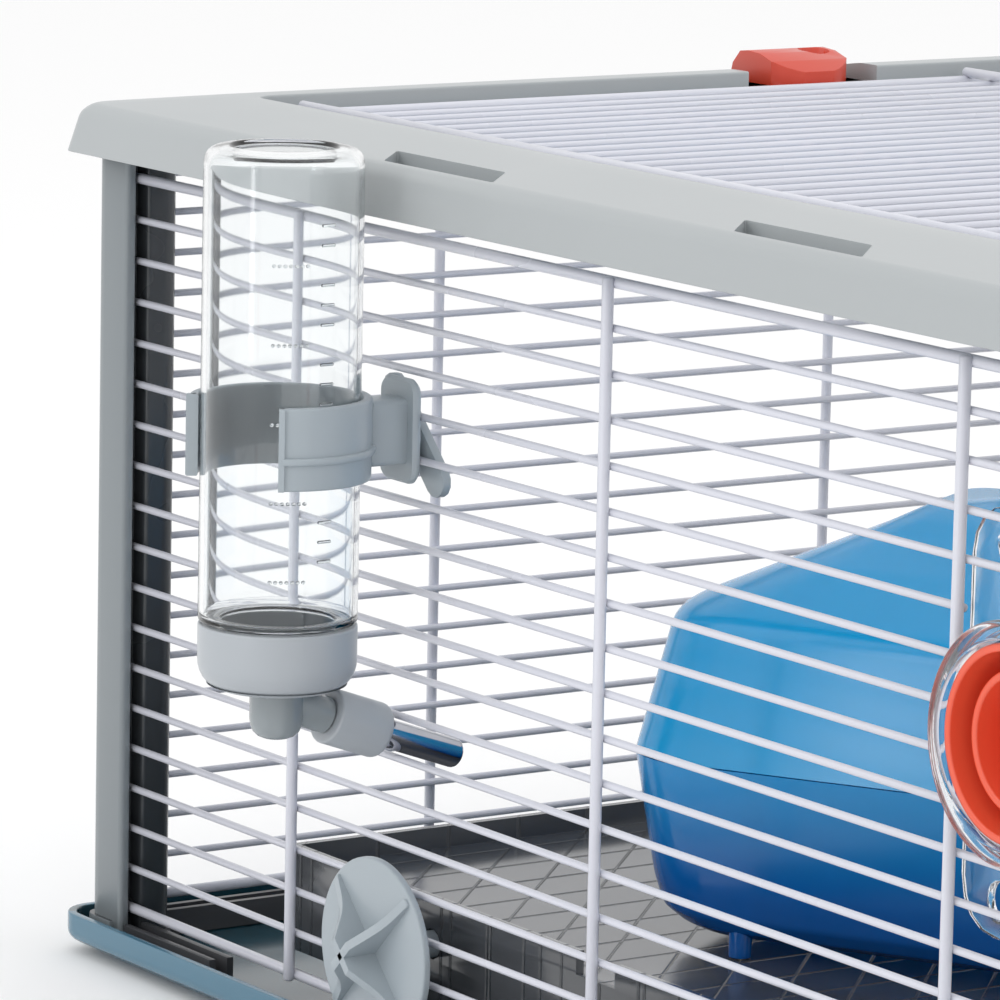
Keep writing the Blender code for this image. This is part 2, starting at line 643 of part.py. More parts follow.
def make_knobs():
    """A disc with crossed ribs outside the wires. Its shaft turns a claw behind the shelf's wall."""
    face = WIRE / 2 + HEAVY_WIRE + GAP
    claw_start = SHELF_FROM_WIRE + SHELF_WALL + SLIDE
    first = knob_places()[0]
    front = -face - KNOB_DISC
    profile = [(0, front), (KNOB_RADIUS, front), (KNOB_RADIUS, -face), (0, -face)]
    knob = turned("shelf_knob_front_left", profile, first, "Y", KNOB_PLASTIC, sides=28)
    rise = front + 0.2 * MM
    half = [(5 * MM, rise - KNOB_RISE), (14 * MM, rise - 3.2 * MM), (KNOB_RADIUS - MM, rise - MM)]
    half.append((KNOB_RADIUS - MM, rise))
    rib = half + [(-x, y) for x, y in half[::-1]]
    for turn in (45, -45):
        plate = prism(f"knob_rib_{turn}", rib, "Z", -KNOB_RIB / 2, KNOB_RIB / 2)
        plate.matrix_world = Matrix.Translation(first) @ Matrix.Rotation(math.radians(turn), 4, "Y")
        join(knob, plate)
    end = claw_start + 2.5 * MM
    shaft = [(0, -face - MM), (KNOB_SHAFT, -face - MM), (KNOB_SHAFT, end), (0, end)]
    join(knob, turned("knob_shaft", shaft, first, "Y", sides=16))
    claw = [(-2.5 * MM, claw_start), (2.5 * MM, claw_start), (2.5 * MM, end), (-2.5 * MM, end)]
    plate = prism("knob_claw", claw, "Z", -KNOB_CLAW, KNOB_SHAFT * 0.8)
    plate.matrix_world = Matrix.Translation(first)
    join(knob, plate)
    names = ("front_left", "front_right", "back_left", "back_right")
    for label, place in list(zip(names, knob_places()))[1:]:
        name = f"shelf_knob_{label}"
        copied = copy_of(knob, name, place, math.pi if place[1] > 0 else 0)
        copied.data.materials[0] = material(name, *KNOB_PLASTIC)


# --- House -----------------------------------------------------------------------------------------------


def house_ring(half_x, half_y, radius, z):
    """A level ring of the house, turned with it."""
    turn = Matrix.Rotation(HOUSE_TURN, 4, "Z")
    middle = Vector((HOUSE_X, HOUSE_Y, 0))
    return [middle + turn @ Vector(point) for point in level(rounded(half_x, half_y, radius), z)]


def house_shell(name, sections, finish):
    """An open-ended shell: up the outside and down the inside. A section is (half_x, half_y, radius, z)."""
    outside = [house_ring(*section) for section in sections]
    wall = HOUSE_WALL
    inside = [house_ring(x - wall, y - wall, max(radius - wall, MM), z) for x, y, radius, z in sections]
    origin = (HOUSE_X, HOUSE_Y, sections[0][3])
    return piece(name, *skin(outside + inside[::-1], closed=True), finish, origin)


def make_house():
    floor = SHELF_TOP + GAP + HOUSE_PEG
    half = HOUSE_SIZE / 2
    foot = HOUSE_FOOT / 2
    seam = SHELF_TOP + HOUSE_SEAM
    corner = HOUSE_CORNER
    base_sections = [
        (foot, foot, corner, floor),
        (foot + 0.45 * (half - foot), foot + 0.45 * (half - foot), corner, floor + 5 * MM),
        (foot + 0.62 * (half - foot), foot + 0.62 * (half - foot), corner, floor + 13 * MM),
        (half, half, corner, seam),
    ]
    base = house_shell("house_base", base_sections, HOUSE_PLASTIC)
    turn = Matrix.Rotation(HOUSE_TURN, 4, "Z")
    middle = Vector((HOUSE_X, HOUSE_Y, 0))
    # A round-topped doorway on the side that faces the port.
    half_door = DOOR_WIDTH / 2
    door = [(-half_door, floor - 5 * MM), (half_door, floor - 5 * MM)]
    door += arc(0, floor + DOOR_HEIGHT - half_door, half_door, 0, 180, 8)
    doorway = prism("doorway", door, "X", 0, HOUSE_SIZE)
    doorway.matrix_world = Matrix.Translation(middle) @ turn
    cut(base, doorway)
    place = foot - 22 * MM
    for index, (sx, sy) in enumerate([(1, 1), (-1, 1), (-1, -1), (1, -1)]):
        spot = middle + turn @ Vector((sx * place, sy * (foot - HOUSE_WALL / 2), 0))
        peg = [(0, SHELF_TOP + GAP), (HOUSE_PEG_RADIUS, SHELF_TOP + GAP)]
        peg += [(HOUSE_PEG_RADIUS, floor + 2 * MM), (0, floor + 2 * MM)]
        join(base, turned(f"house_peg_{index}", peg, spot, "Z", sides=10))
    # The roof: leaning in a little to its shoulder, then in two slopes up to a short ridge, and closed on top.
    shoulder = SHELF_TOP + HOUSE_SHOULDER
    top = SHELF_TOP + HOUSE_APEX
    rise = top - shoulder
    sections = [
        (half, half, corner, seam + GAP),
        (half - 7 * MM, half - 7 * MM, corner, shoulder),
        (half - 12 * MM, half - 12 * MM, corner, shoulder + 0.13 * rise),
        (half * 0.52, half * 0.62, corner * 0.8, shoulder + 0.50 * rise),
        (half * 0.30, half * 0.40, corner * 0.5, shoulder + 0.75 * rise),
        (half * 0.12, half * 0.24, corner * 0.3, top),
    ]
    outside = [house_ring(*section) for section in sections]
    wall = HOUSE_WALL
    inside = [house_ring(x - wall, y - wall, radius - wall, z - wall) for x, y, radius, z in sections[1:]]
    inside = [house_ring(half - wall, half - wall, corner - wall, seam + GAP)] + inside
    points, faces = skin(outside + inside[::-1], closed=False)
    count = len(outside[0])
    stack = len(outside)
    faces = faces[:-2]
    bridge = slice((stack - 1) * count, stack * count)
    faces = faces[: bridge.start] + faces[bridge.stop :]
    faces.append(tuple(range((stack - 1) * count, stack * count)))
    faces.append(tuple(range(stack * count, (stack + 1) * count)))
    last = len(points) - count
    for i in range(count):
        j = (i + 1) % count
        faces.append((i, j, last + j, last + i))
    piece("house_roof", points, faces, HOUSE_PLASTIC, (HOUSE_X, HOUSE_Y, seam + GAP))


# --- Drinker ---------------------------------------------------------------------------------------------


def make_drinker():
    """A bottle upside down in a clamp, with a screwed cap and a steel spout that a ball closes."""
    centre = Vector((BOTTLE_X, BOTTLE_Y, 0))
    radius, wall = BOTTLE_RADIUS, BOTTLE_WALL
    neck_drop = CAP_HEIGHT * 0.6
    base, top = BOTTLE_BOTTOM, BOTTLE_TOP
    profile = [
        (NECK_RADIUS, base - neck_drop),
        (NECK_RADIUS, base + GAP),
        (radius, base + GAP),
        (radius, top - 6 * MM),
        (radius - 2 * MM, top - 1.6 * MM),
        (radius - 5.5 * MM, top),
        (radius - 8 * MM, top - 1 * MM),
        (0, top - 1.2 * MM),
        (0, top - 1.2 * MM - wall),
        (radius - 6 * MM, top - 1 * MM - wall),
        (radius - wall, top - 6 * MM),
        (radius - wall, base + GAP + wall),
        (NECK_RADIUS - wall, base + GAP + wall),
        (NECK_RADIUS - wall, base - neck_drop),
    ]
    turned_open("bottle", profile, centre, CLEAR_PLASTIC)
    inner = radius - CAP_WALL
    low = base - CAP_HEIGHT
    hole = KNUCKLE_RADIUS + SLIDE
    cap = [
        (hole, low),
        (radius * 0.66, low + 1.2 * MM),
        (radius * 0.93, low + 4.5 * MM),
        (radius, low + 8 * MM),
        (radius, base),
        (NECK_RADIUS + GAP, base),
        (NECK_RADIUS + GAP, low + 6.4 * MM),
        (inner * 0.6, low + 4 * MM),
        (hole, low + 3 * MM),
    ]
    turned("bottle_cap", cap, centre, "Z", GREY_PLASTIC, sides=28, origin=(BOTTLE_X, BOTTLE_Y, low))
    # The spout runs towards the cage and down, and passes between two wires.
    tilt = Matrix.Rotation(-SPOUT_TILT, 3, "X")
    along = tilt @ Vector((0, 1, 0))
    crossing = LOWEST_WIRE + WIRE_PITCH * (SPOUT_ROW + 0.5)
    start = Vector((BOTTLE_X, BOTTLE_Y, crossing + BOTTLE_FROM_WIRE * math.tan(SPOUT_TILT)))
    bore = SPOUT_RADIUS - SPOUT_WALL
    shell = SPOUT_RADIUS + 1.0 * MM
    end = SLEEVE_START - GAP
    pipe = [(0, 0), (shell, 0), (shell, end), (0, end)]
    elbow = turned("spout_elbow", pipe, start, "Y", GREY_PLASTIC, 18, tilt)
    knuckle_low = -shell - 1 * MM
    knuckle_top = low + 5 * MM - start.z
    knuckle = [(0, knuckle_low), (KNUCKLE_RADIUS * 0.7, knuckle_low)]
    knuckle += [(KNUCKLE_RADIUS, knuckle_low + 3 * MM)]
    knuckle += [(KNUCKLE_RADIUS, knuckle_top), (0, knuckle_top)]
    join(elbow, turned("elbow_knuckle", knuckle, start, "Z", sides=18))
    water = [(0, 0), (bore, 0), (bore, knuckle_top + MM), (0, knuckle_top + MM)]
    cut(elbow, turned("elbow_inlet", water, start, "Z", sides=12))
    water = [(0, -bore * 0.5), (bore, -bore * 0.5), (bore, end + MM), (0, end + MM)]
    cut(elbow, turned("elbow_outlet", water, start, "Y", None, 12, tilt))
    sleeve = [(SPOUT_RADIUS + GAP, SLEEVE_START), (SLEEVE_RADIUS, SLEEVE_START)]
    sleeve_end = SLEEVE_START + SLEEVE_LENGTH
    sleeve += [(SLEEVE_RADIUS, sleeve_end - MM), (SLEEVE_RADIUS - MM, sleeve_end)]
    sleeve += [(SPOUT_RADIUS + GAP, sleeve_end)]
    turned("spout_sleeve", sleeve, start, "Y", GREY_PLASTIC, 20, tilt)
    lip = BALL_RADIUS * 0.8
    tube = [(bore, SLEEVE_START), (SPOUT_RADIUS, SLEEVE_START), (SPOUT_RADIUS, SPOUT_END - 1.5 * MM)]
    tube += [(bore, SPOUT_END), (lip, SPOUT_END), (lip, SPOUT_END - 0.8 * MM), (bore, SPOUT_END - 1.6 * MM)]
    turned("spout_tube", tube, start, "Y", STEEL, 16, tilt)
    # The ball rests just behind the lip, and an animal's tongue pushes it in.
    ball_place = start + along * (SPOUT_END - 1 * MM - BALL_RADIUS)
    angles = [math.pi * i / 6 for i in range(1, 6)]
    ball = [(0, -BALL_RADIUS)]
    ball += [(BALL_RADIUS * math.sin(a), -BALL_RADIUS * math.cos(a)) for a in angles]
    ball.append((0, BALL_RADIUS))
    turned("spout_ball", ball, ball_place, "Y", STEEL, 12, tilt)


def turned_open(name, profile, centre, finish, sides=28):
    """As turned, for a profile that touches the axis on its way: the bottom of a hollow, closed bottle."""
    angles = [2 * math.pi * (i + 0.5) / sides for i in range(sides)]
    rings = []
    for radius, z in profile:
        flat = [(centre.x + radius * math.cos(a), centre.y + radius * math.sin(a)) for a in angles]
        rings.append(level(flat, z))
    points, faces = skin(rings, closed=True)
    # Between the two points on the axis there is nothing to join.
    on_axis = [index for index, (radius, _) in enumerate(profile) if radius == 0]
    dropped = on_axis[0] * sides
    faces = faces[:dropped] + faces[dropped + sides :]
    return piece(name, points, faces, finish, (centre.x, centre.y, profile[0][1]))


def make_clamp():
    """An open ring round the bottle, on a plate outside the wires, and the bar inside that locks it."""
    inner = BOTTLE_RADIUS + SLIDE
    outer = inner + CLAMP_WALL
    low, high = CLAMP_MIDDLE - CLAMP_HEIGHT / 2, CLAMP_MIDDLE + CLAMP_HEIGHT / 2
    outline = arc(BOTTLE_X, BOTTLE_Y, outer, -32, 238, 22)
    outline += arc(BOTTLE_X, BOTTLE_Y, inner, 238, -32, 22)
    ring = prism("clamp_ring", outline, "Z", low, high, KNOB_PLASTIC)
    face = -PANEL_Y - WIRE / 2 - GAP
    plate_x = BOTTLE_X + CLAMP_SIDESTEP
    shape = rounded(CLAMP_PLATE_WIDTH / 2, CLAMP_PLATE_HEIGHT / 2, 3 * MM, 3)
    shape = [(x + plate_x, z + CLAMP_MIDDLE) for x, z in shape]
    join(ring, prism("clamp_plate", shape, "Y", face - CLAMP_PLATE, face))
    arm_low = (plate_x - 5 * MM, BOTTLE_Y + inner + 0.5 * CLAMP_WALL, low + 2 * MM)
    arm_high = (plate_x + 5 * MM, face - CLAMP_PLATE / 2, high - 2 * MM)
    join(ring, box("clamp_arm", arm_low, arm_high))
    stub_z = LOWEST_WIRE + WIRE_PITCH * (CLAMP_ROW + 0.5)
    pivot = (plate_x, -PANEL_Y, stub_z)
    inside = WIRE / 2 + GAP
    end = inside + CLAMP_PLATE
    radius = LOCK_WIDTH / 2
    bar_half = LOCK_LENGTH / 2 - radius
    # The bar is drawn upright and then leans, with its top end away from the port.
    shape = arc(0, bar_half, radius, 0, 180, 6) + arc(0, -bar_half, radius, 180, 360, 6)
    lean = math.radians(45)
    cosine, sine = math.cos(lean), math.sin(lean)
    shape = [(x * cosine - z * sine, x * sine + z * cosine) for x, z in shape]
    shape = [(x + pivot[0], z + pivot[2]) for x, z in shape]
    lock = prism("clamp_lock", shape, "Y", -PANEL_Y + inside, -PANEL_Y + end, KNOB_PLASTIC, pivot)
    shaft = WIRE_PITCH / 2 - WIRE / 2 - SLIDE
    stub = [(0, -inside + GAP), (shaft, -inside + GAP), (shaft, inside + MM), (0, inside + MM)]
    join(lock, turned("lock_shaft", stub, pivot, "Y", sides=14))


# --- Tube port -------------------------------------------------------------------------------------------


def make_port():
    """A clear collar outside the wires, a clear plate inside them, and a plug that pulls out."""
    centre = (PORT_X, -PANEL_Y, PORT_Z)
    outside = WIRE / 2 + HEAVY_WIRE + GAP
    bore = PORT_TUBE - PORT_WALL
    inside = WIRE / 2 + GAP
    reach = PORT_REACH
    profile = [
        (bore, -outside - reach),
        (PORT_FLANGE - MM, -outside - reach),
        (PORT_FLANGE, -outside - reach + MM),
        (PORT_FLANGE, -outside - reach + 3.5 * MM),
        (PORT_FLANGE - 2 * MM, -outside - reach + 5 * MM),
        (PORT_FLANGE - 1.2 * MM, -outside),
        (PORT_TUBE, -outside),
        (PORT_TUBE, inside - 2 * GAP),
        (bore, inside - 2 * GAP),
    ]
    turned("port_collar", profile, centre, "Y", CLEAR_PLASTIC, sides=32)
    shape = rounded(PORT_PLATE_WIDTH / 2, PORT_PLATE_HEIGHT / 2, 12 * MM)
    plate = [(x + PORT_X, z + PORT_Z) for x, z in shape]
    start = -PANEL_Y + inside
    guard = prism("port_plate", plate, "Y", start, start + PORT_PLATE, CLEAR_PLASTIC)
    hole = [(0, -5 * MM), (bore, -5 * MM), (bore, 5 * MM), (0, 5 * MM)]
    cut(guard, turned("port_hole", hole, (PORT_X, start, PORT_Z), "Y", sides=32))
    window = PORT_PLATE_HEIGHT / 2 - 9 * MM
    shape = rounded(22 * MM, 4.5 * MM, 4.4 * MM)
    for side in (-1, 1):
        slot = [(x + PORT_X, z + PORT_Z + side * window) for x, z in shape]
        cut(guard, prism(f"port_window_{side}", slot, "Y", start - 5 * MM, start + 8 * MM))
    radius = bore - SLIDE
    front = -outside - reach + 1 * MM
    core = radius - 6 * MM
    cup = [
        (0, front + PLUG_DEPTH),
        (radius, front + PLUG_DEPTH),
        (radius, front),
        (radius - PLUG_WALL, front),
        (radius - PLUG_WALL, front + PLUG_DEPTH - PLUG_WALL),
        (core, front + PLUG_DEPTH - PLUG_WALL),
        (core, front + 3 * MM),
        (core - PLUG_WALL, front + 3 * MM),
        (core - PLUG_WALL, front + PLUG_DEPTH - PLUG_WALL),
        (0, front + PLUG_DEPTH - PLUG_WALL),
    ]
    plug = turned("port_plug", cup, centre, "Y", PORT_RED, sides=28)
    # A rib across the cup's core, to pull it by.
    half = core - PLUG_WALL / 2
    grip_low = (PORT_X - MM, -PANEL_Y + front + 3 * MM, PORT_Z - half)
    grip_high = (PORT_X + MM, -PANEL_Y + front + PLUG_DEPTH - MM, PORT_Z + half)
    join(plug, box("plug_grip", grip_low, grip_high))


for old in list(bpy.data.objects):
    bpy.data.objects.remove(old)
make_tray()
for corner_name, side_x, side_y in (
    ("front_left", -1, -1),
    ("front_right", 1, -1),
    ("back_left", -1, 1),
    ("back_right", 1, 1),
):
    make_corner(corner_name, side_x, side_y)
make_sides()
make_top_frame()
make_roof()
make_latch()
make_shelf()
make_knobs()
make_house()
make_drinker()
make_clamp()
make_port()
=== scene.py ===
"""A wire hamster cage on a blue litter tray, with a lift-up roof, a shelf, a house, a drinker and a port
for a tube.

Lengths are in millimetres until a mesh is made. X runs along the long side, and the drinker and the port hang
on the front, at -Y.
"""

import math

import bmesh
import bpy
import numpy as np
from mathutils import Matrix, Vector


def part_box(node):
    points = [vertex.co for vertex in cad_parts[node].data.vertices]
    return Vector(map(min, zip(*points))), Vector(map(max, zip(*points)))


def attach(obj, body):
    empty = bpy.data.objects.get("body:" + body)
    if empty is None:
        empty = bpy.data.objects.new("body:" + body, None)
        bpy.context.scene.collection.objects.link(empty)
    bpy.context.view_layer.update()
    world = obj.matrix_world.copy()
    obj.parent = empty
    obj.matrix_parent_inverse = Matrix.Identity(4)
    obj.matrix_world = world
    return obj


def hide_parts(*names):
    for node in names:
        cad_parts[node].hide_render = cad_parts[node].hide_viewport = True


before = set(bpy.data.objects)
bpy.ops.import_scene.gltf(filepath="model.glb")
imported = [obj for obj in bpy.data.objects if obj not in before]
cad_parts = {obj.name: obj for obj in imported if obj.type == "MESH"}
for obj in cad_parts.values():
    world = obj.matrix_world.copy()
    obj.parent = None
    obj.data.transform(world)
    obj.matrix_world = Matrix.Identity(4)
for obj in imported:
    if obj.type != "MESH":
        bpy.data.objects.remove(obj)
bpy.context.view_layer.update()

# --- Studio ----------------------------------------------------------------------------------------------
# A white paper floor, soft boxes over both shoulders and above, and a long lens from the front right corner,
# low and far away, so that the cage fills the picture from its far left post to the tube port.

EYE = (1.249, -1.046, 0.426)
EYE_TURN = 56.14
EYE_DIP = 9.77
EYE_ROLL = 1.20
LENS_PER_WIDTH = 6.333
SENSOR = 36.0


def put_camera():
    data = bpy.data.cameras.new("studio_camera")
    data.sensor_width = SENSOR
    data.lens = LENS_PER_WIDTH * SENSOR
    data.clip_end = 20
    camera = bpy.data.objects.new("studio_camera", data)
    turn = Matrix.Rotation(math.radians(EYE_TURN), 4, "Z")
    dip = Matrix.Rotation(math.radians(90 - EYE_DIP), 4, "X")
    roll = Matrix.Rotation(math.radians(EYE_ROLL), 4, "Z")
    camera.matrix_world = Matrix.Translation(EYE) @ turn @ dip @ roll
    bpy.context.scene.collection.objects.link(camera)
    bpy.context.scene.camera = camera


def soft_box(name, place, aim, width, height, power):
    """A rectangular lamp at place, facing aim."""
    lamp = bpy.data.lights.new(name, "AREA")
    lamp.shape = "RECTANGLE"
    lamp.size = width
    lamp.size_y = height
    lamp.energy = power
    made = bpy.data.objects.new(name, lamp)
    facing = (np.array(aim) - np.array(place)).astype(float)
    made.matrix_world = Matrix.Translation(place) @ aim_matrix(facing)
    bpy.context.scene.collection.objects.link(made)


def aim_matrix(facing):
    """A turn that points a lamp's -Z along facing, with its height upright."""
    back = -facing / np.linalg.norm(facing)
    side = np.cross((0.0, 0.0, 1.0), back)
    side = side / np.linalg.norm(side)
    up = np.cross(back, side)
    turn = Matrix.Identity(4)
    for axis, column in enumerate((side, up, back)):
        for row in range(3):
            turn[row][axis] = column[row]
    return turn


def light_studio():
    world = bpy.data.worlds.new("white_room")
    world.use_nodes = True
    world.node_tree.nodes["Background"].inputs["Color"].default_value = (1.0, 1.0, 1.0, 1)
    world.node_tree.nodes["Background"].inputs["Strength"].default_value = 1.0
    bpy.context.scene.world = world
    bpy.context.scene.view_settings.view_transform = "Standard"
    soft_box("key_box", (-0.5, -1.9, 1.5), (0, 0, 0.1), 1.2, 1.2, 5)
    soft_box("side_box", (1.9, 0.5, 1.1), (0, 0, 0.1), 0.8, 1.2, 2.5)
    soft_box("strip_box", (0.25, -1.7, 0.35), (-0.1, -0.2, 0.15), 0.16, 1.1, 2.5)
    soft_box("top_box", (0.1, 0.2, 1.9), (0, 0, 0), 1.4, 1.4, 3)


def lay_floor():
    """A flat sheet of white paper under the cage."""
    mesh = bpy.data.meshes.new("paper_floor")
    reach = 8.0
    corners = [(-reach, -reach, 0), (reach, -reach, 0), (reach, reach, 0), (-reach, reach, 0)]
    mesh.from_pydata(corners, [], [(0, 1, 2, 3)])
    paper = bpy.data.materials.new("white_paper")
    paper.use_nodes = True
    shader = paper.node_tree.nodes["Principled BSDF"]
    shader.inputs["Base Color"].default_value = (0.95, 0.95, 0.95, 1)
    shader.inputs["Roughness"].default_value = 0.9
    mesh.materials.append(paper)
    floor = bpy.data.objects.new("paper_floor", mesh)
    bpy.context.scene.collection.objects.link(floor)


put_camera()
light_studio()
lay_floor()

# --- Litter tray -----------------------------------------------------------------------------------------
# A shallow tray, moulded in glossy steel-blue plastic. Its inside faces get a darker teal as painted shade.
# Its walls curve in to a narrower step underneath, and its rim is rounded.

MM = 0.001


def span(node):
    """The lowest and highest corner of a CAD node, in millimetres."""
    low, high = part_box(node)
    return np.array(low) / MM, np.array(high) / MM


def eased(corners, trims, steps=4, closed=True):
    """A path of any dimension with soft corners. Each corner is swapped for a parabola that starts its trim
    before it and ends its trim after it. The ends of an open path stay sharp."""
    corners = np.asarray(corners, float)
    trims = np.broadcast_to(np.asarray(trims, float), len(corners)).copy()
    if not closed:
        trims[[0, -1]] = 0
    back = np.roll(corners, 1, 0) - corners
    ahead = np.roll(corners, -1, 0) - corners
    back = back / np.maximum(np.linalg.norm(back, axis=1, keepdims=True), 1e-9)
    ahead = ahead / np.maximum(np.linalg.norm(ahead, axis=1, keepdims=True), 1e-9)
    t = np.linspace(0, 1, steps + 1)[None, :, None]
    start = corners + back * trims[:, None]
    end = corners + ahead * trims[:, None]
    curve = (1 - t) ** 2 * start[:, None] + 2 * t * (1 - t) * corners[:, None] + t**2 * end[:, None]
    return curve.reshape(-1, corners.shape[1])


def oblong(half_x, half_y, radius, steps=8):
    """A rectangle with round corners, anticlockwise, as rows of x and y."""
    angle = np.linspace(0, np.pi / 2, steps + 1)
    corner = np.arange(4)[:, None]
    turn = angle[None, :] + corner * np.pi / 2
    side_x = np.array([1, -1, -1, 1])[:, None] * (half_x - radius)
    side_y = np.array([1, 1, -1, -1])[:, None] * (half_y - radius)
    return np.stack([side_x + radius * np.cos(turn), side_y + radius * np.sin(turn)], -1).reshape(-1, 2)


def oblong_rings(stations, steps=8):
    """Level rings, one for each station of (half_x, half_y, radius, z)."""
    rings = []
    for half_x, half_y, radius, z in stations:
        flat = oblong(half_x, half_y, radius, steps)
        rings.append(np.column_stack([flat, np.full(len(flat), z)]))
    return np.array(rings)


def skin(rings, ends="capped"):
    """Points and faces of a stack of rings of equally many points. Ends are capped, or joined to each
    other."""
    rings = np.asarray(rings, float)
    layers, count = rings.shape[:2]
    last = layers if ends == "joined" else layers - 1
    low = (np.arange(last)[:, None] * count).repeat(count, 1)
    high = ((np.arange(last)[:, None] + 1) % layers * count).repeat(count, 1)
    here = np.arange(count)[None, :]
    after = (here + 1) % count
    faces = np.stack([low + here, low + after, high + after, high + here], -1).reshape(-1, 4).tolist()
    if ends == "capped":
        faces.append(list(range(count))[::-1])
        faces.append(list(range((layers - 1) * count, layers * count)))
    return rings.reshape(-1, 3), faces


def make_piece(name, parts, finishes, body, nodes=None, sharp=32, pick=None):
    """One piece from closed parts of (points, faces) in millimetres. It rides on body, stands for nodes and
    takes its finishes from finishes. Pick gives each face its finish from the faces' middles."""
    mesh = bpy.data.meshes.new(name)
    points, faces, start = [], [], 0
    for part_points, part_faces in parts:
        points.append(part_points)
        faces += [[corner + start for corner in face] for face in part_faces]
        start += len(part_points)
    mesh.from_pydata((np.concatenate(points) * MM).tolist(), [], faces)
    shape = bmesh.new()
    shape.from_mesh(mesh)
    bmesh.ops.remove_doubles(shape, verts=shape.verts, dist=2e-6)
    bmesh.ops.dissolve_degenerate(shape, edges=shape.edges, dist=1e-6)
    bmesh.ops.recalc_face_normals(shape, faces=shape.faces)
    shape.to_mesh(mesh)
    shape.free()
    finishes = finishes if isinstance(finishes, list) else [finishes]
    for finish in finishes:
        mesh.materials.append(finish)
    if pick:
        middles = np.empty(len(mesh.polygons) * 3)
        mesh.polygons.foreach_get("center", middles)
        chosen = np.asarray(pick(middles.reshape(-1, 3) / MM), dtype=np.int32)
        mesh.polygons.foreach_set("material_index", chosen)
    mesh.shade_smooth()
    mesh.set_sharp_from_angle(angle=math.radians(sharp))
    made = bpy.data.objects.new(name, mesh)
    bpy.context.scene.collection.objects.link(made)
    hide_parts(*(nodes or [name]))
    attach(made, body)
    return made


def plastic(name, colour, roughness, mottle=0.05, grain=0.02, clear=0.0, ior=1.49, coat=0.0, sheen_scale=220):
    """Moulded plastic. Slow noise shifts the colour and the gloss a little, as flow marks do, and fine noise
    raises the faint orange peel of a mould's skin. Grain is its height in millimetres."""
    made = bpy.data.materials.new(name)
    made.use_nodes = True
    nodes, links = made.node_tree.nodes, made.node_tree.links
    shader = nodes["Principled BSDF"]
    shader.inputs["Transmission Weight"].default_value = clear
    shader.inputs["IOR"].default_value = ior
    shader.inputs["Coat Weight"].default_value = coat
    shader.inputs["Coat Roughness"].default_value = 0.12
    where = nodes.new("ShaderNodeTexCoord").outputs["Object"]
    flow = nodes.new("ShaderNodeTexNoise")
    flow.inputs["Scale"].default_value = 14
    flow.inputs["Detail"].default_value = 3
    tint = nodes.new("ShaderNodeMix")
    tint.data_type = "RGBA"
    tint.inputs["A"].default_value = (*[channel * (1 - mottle) for channel in colour], 1)
    tint.inputs["B"].default_value = (*[min(1, channel * (1 + mottle)) for channel in colour], 1)
    gloss = nodes.new("ShaderNodeMapRange")
    gloss.inputs["To Min"].default_value = roughness * 0.8
    gloss.inputs["To Max"].default_value = roughness * 1.25
    peel = nodes.new("ShaderNodeTexNoise")
    peel.inputs["Scale"].default_value = sheen_scale
    peel.inputs["Detail"].default_value = 2
    bump = nodes.new("ShaderNodeBump")
    bump.inputs["Strength"].default_value = 0.5
    bump.inputs["Distance"].default_value = grain * MM
    links.new(where, flow.inputs["Vector"])
    links.new(where, peel.inputs["Vector"])
    links.new(flow.outputs["Fac"], tint.inputs["Factor"])
    links.new(flow.outputs["Fac"], gloss.inputs["Value"])
    links.new(tint.outputs["Result"], shader.inputs["Base Color"])
    links.new(gloss.outputs["Result"], shader.inputs["Roughness"])
    links.new(peel.outputs["Fac"], bump.inputs["Height"])
    links.new(bump.outputs["Normal"], shader.inputs["Normal"])
    return made


TRAY_WALL = 2.5
TRAY_FLOOR = 3.0
TRAY_CORNER = 11.0
TRAY_STEP = 9.0
TRAY_HOLLOW = 2.5
FLOOR_EDGE = 8.0

tray_blue = plastic("tray_blue", (0.055, 0.165, 0.245), 0.24, coat=0.3)
# The tray's inside is painted darker than its outside: painted shade.
tray_inside_painted_shade = plastic("tray_inside_painted_shade", (0.012, 0.060, 0.085), 0.2, coat=0.3)


def make_tray():
    x, y, top = span("base_tray")[1]
    stations = [
        (x - TRAY_STEP, y - TRAY_STEP, TRAY_CORNER, 0),
        (x - TRAY_STEP, y - TRAY_STEP, TRAY_CORNER, 0.9),
        (x - TRAY_STEP + TRAY_HOLLOW, y - TRAY_STEP + TRAY_HOLLOW, TRAY_CORNER, 1.3),
        (x, y, TRAY_CORNER, 4.6),
        (x, y, TRAY_CORNER, top),
        (x - TRAY_WALL, y - TRAY_WALL, TRAY_CORNER - TRAY_WALL, top),
        (x - TRAY_WALL, y - TRAY_WALL, TRAY_CORNER - TRAY_WALL, TRAY_FLOOR),
        (x - TRAY_WALL - FLOOR_EDGE, y - TRAY_WALL - FLOOR_EDGE, TRAY_CORNER - TRAY_WALL, TRAY_FLOOR),
    ]
    path = eased(stations, [0, 0.3, 0.3, 2.4, 0.7, 0.7, 1.6, 0], 5, closed=False)

    # Picks the faces inside the walls and above the floor, which get the painted shade finish.
    def inside(middles):
        within_x = np.abs(middles[:, 0]) < x - TRAY_WALL + 0.1
        within_y = np.abs(middles[:, 1]) < y - TRAY_WALL + 0.1
        return within_x & within_y & (middles[:, 2] > TRAY_FLOOR - 0.5)

    finishes = [tray_blue, tray_inside_painted_shade]
    shell = skin(oblong_rings(path))
    make_piece("base_tray_piece", [shell], finishes, "cage", ["base_tray"], pick=inside)


make_tray()

# --- Corner feet -----------------------------------------------------------------------------------------
# Dark brackets that sit in the tray's corners under the posts. Each has two thin walls along each side of the
# tray, which the lowest wires press between. The edges are broken as a mould leaves them.

CORNERS = ("front_left", "front_right", "back_left", "back_right")


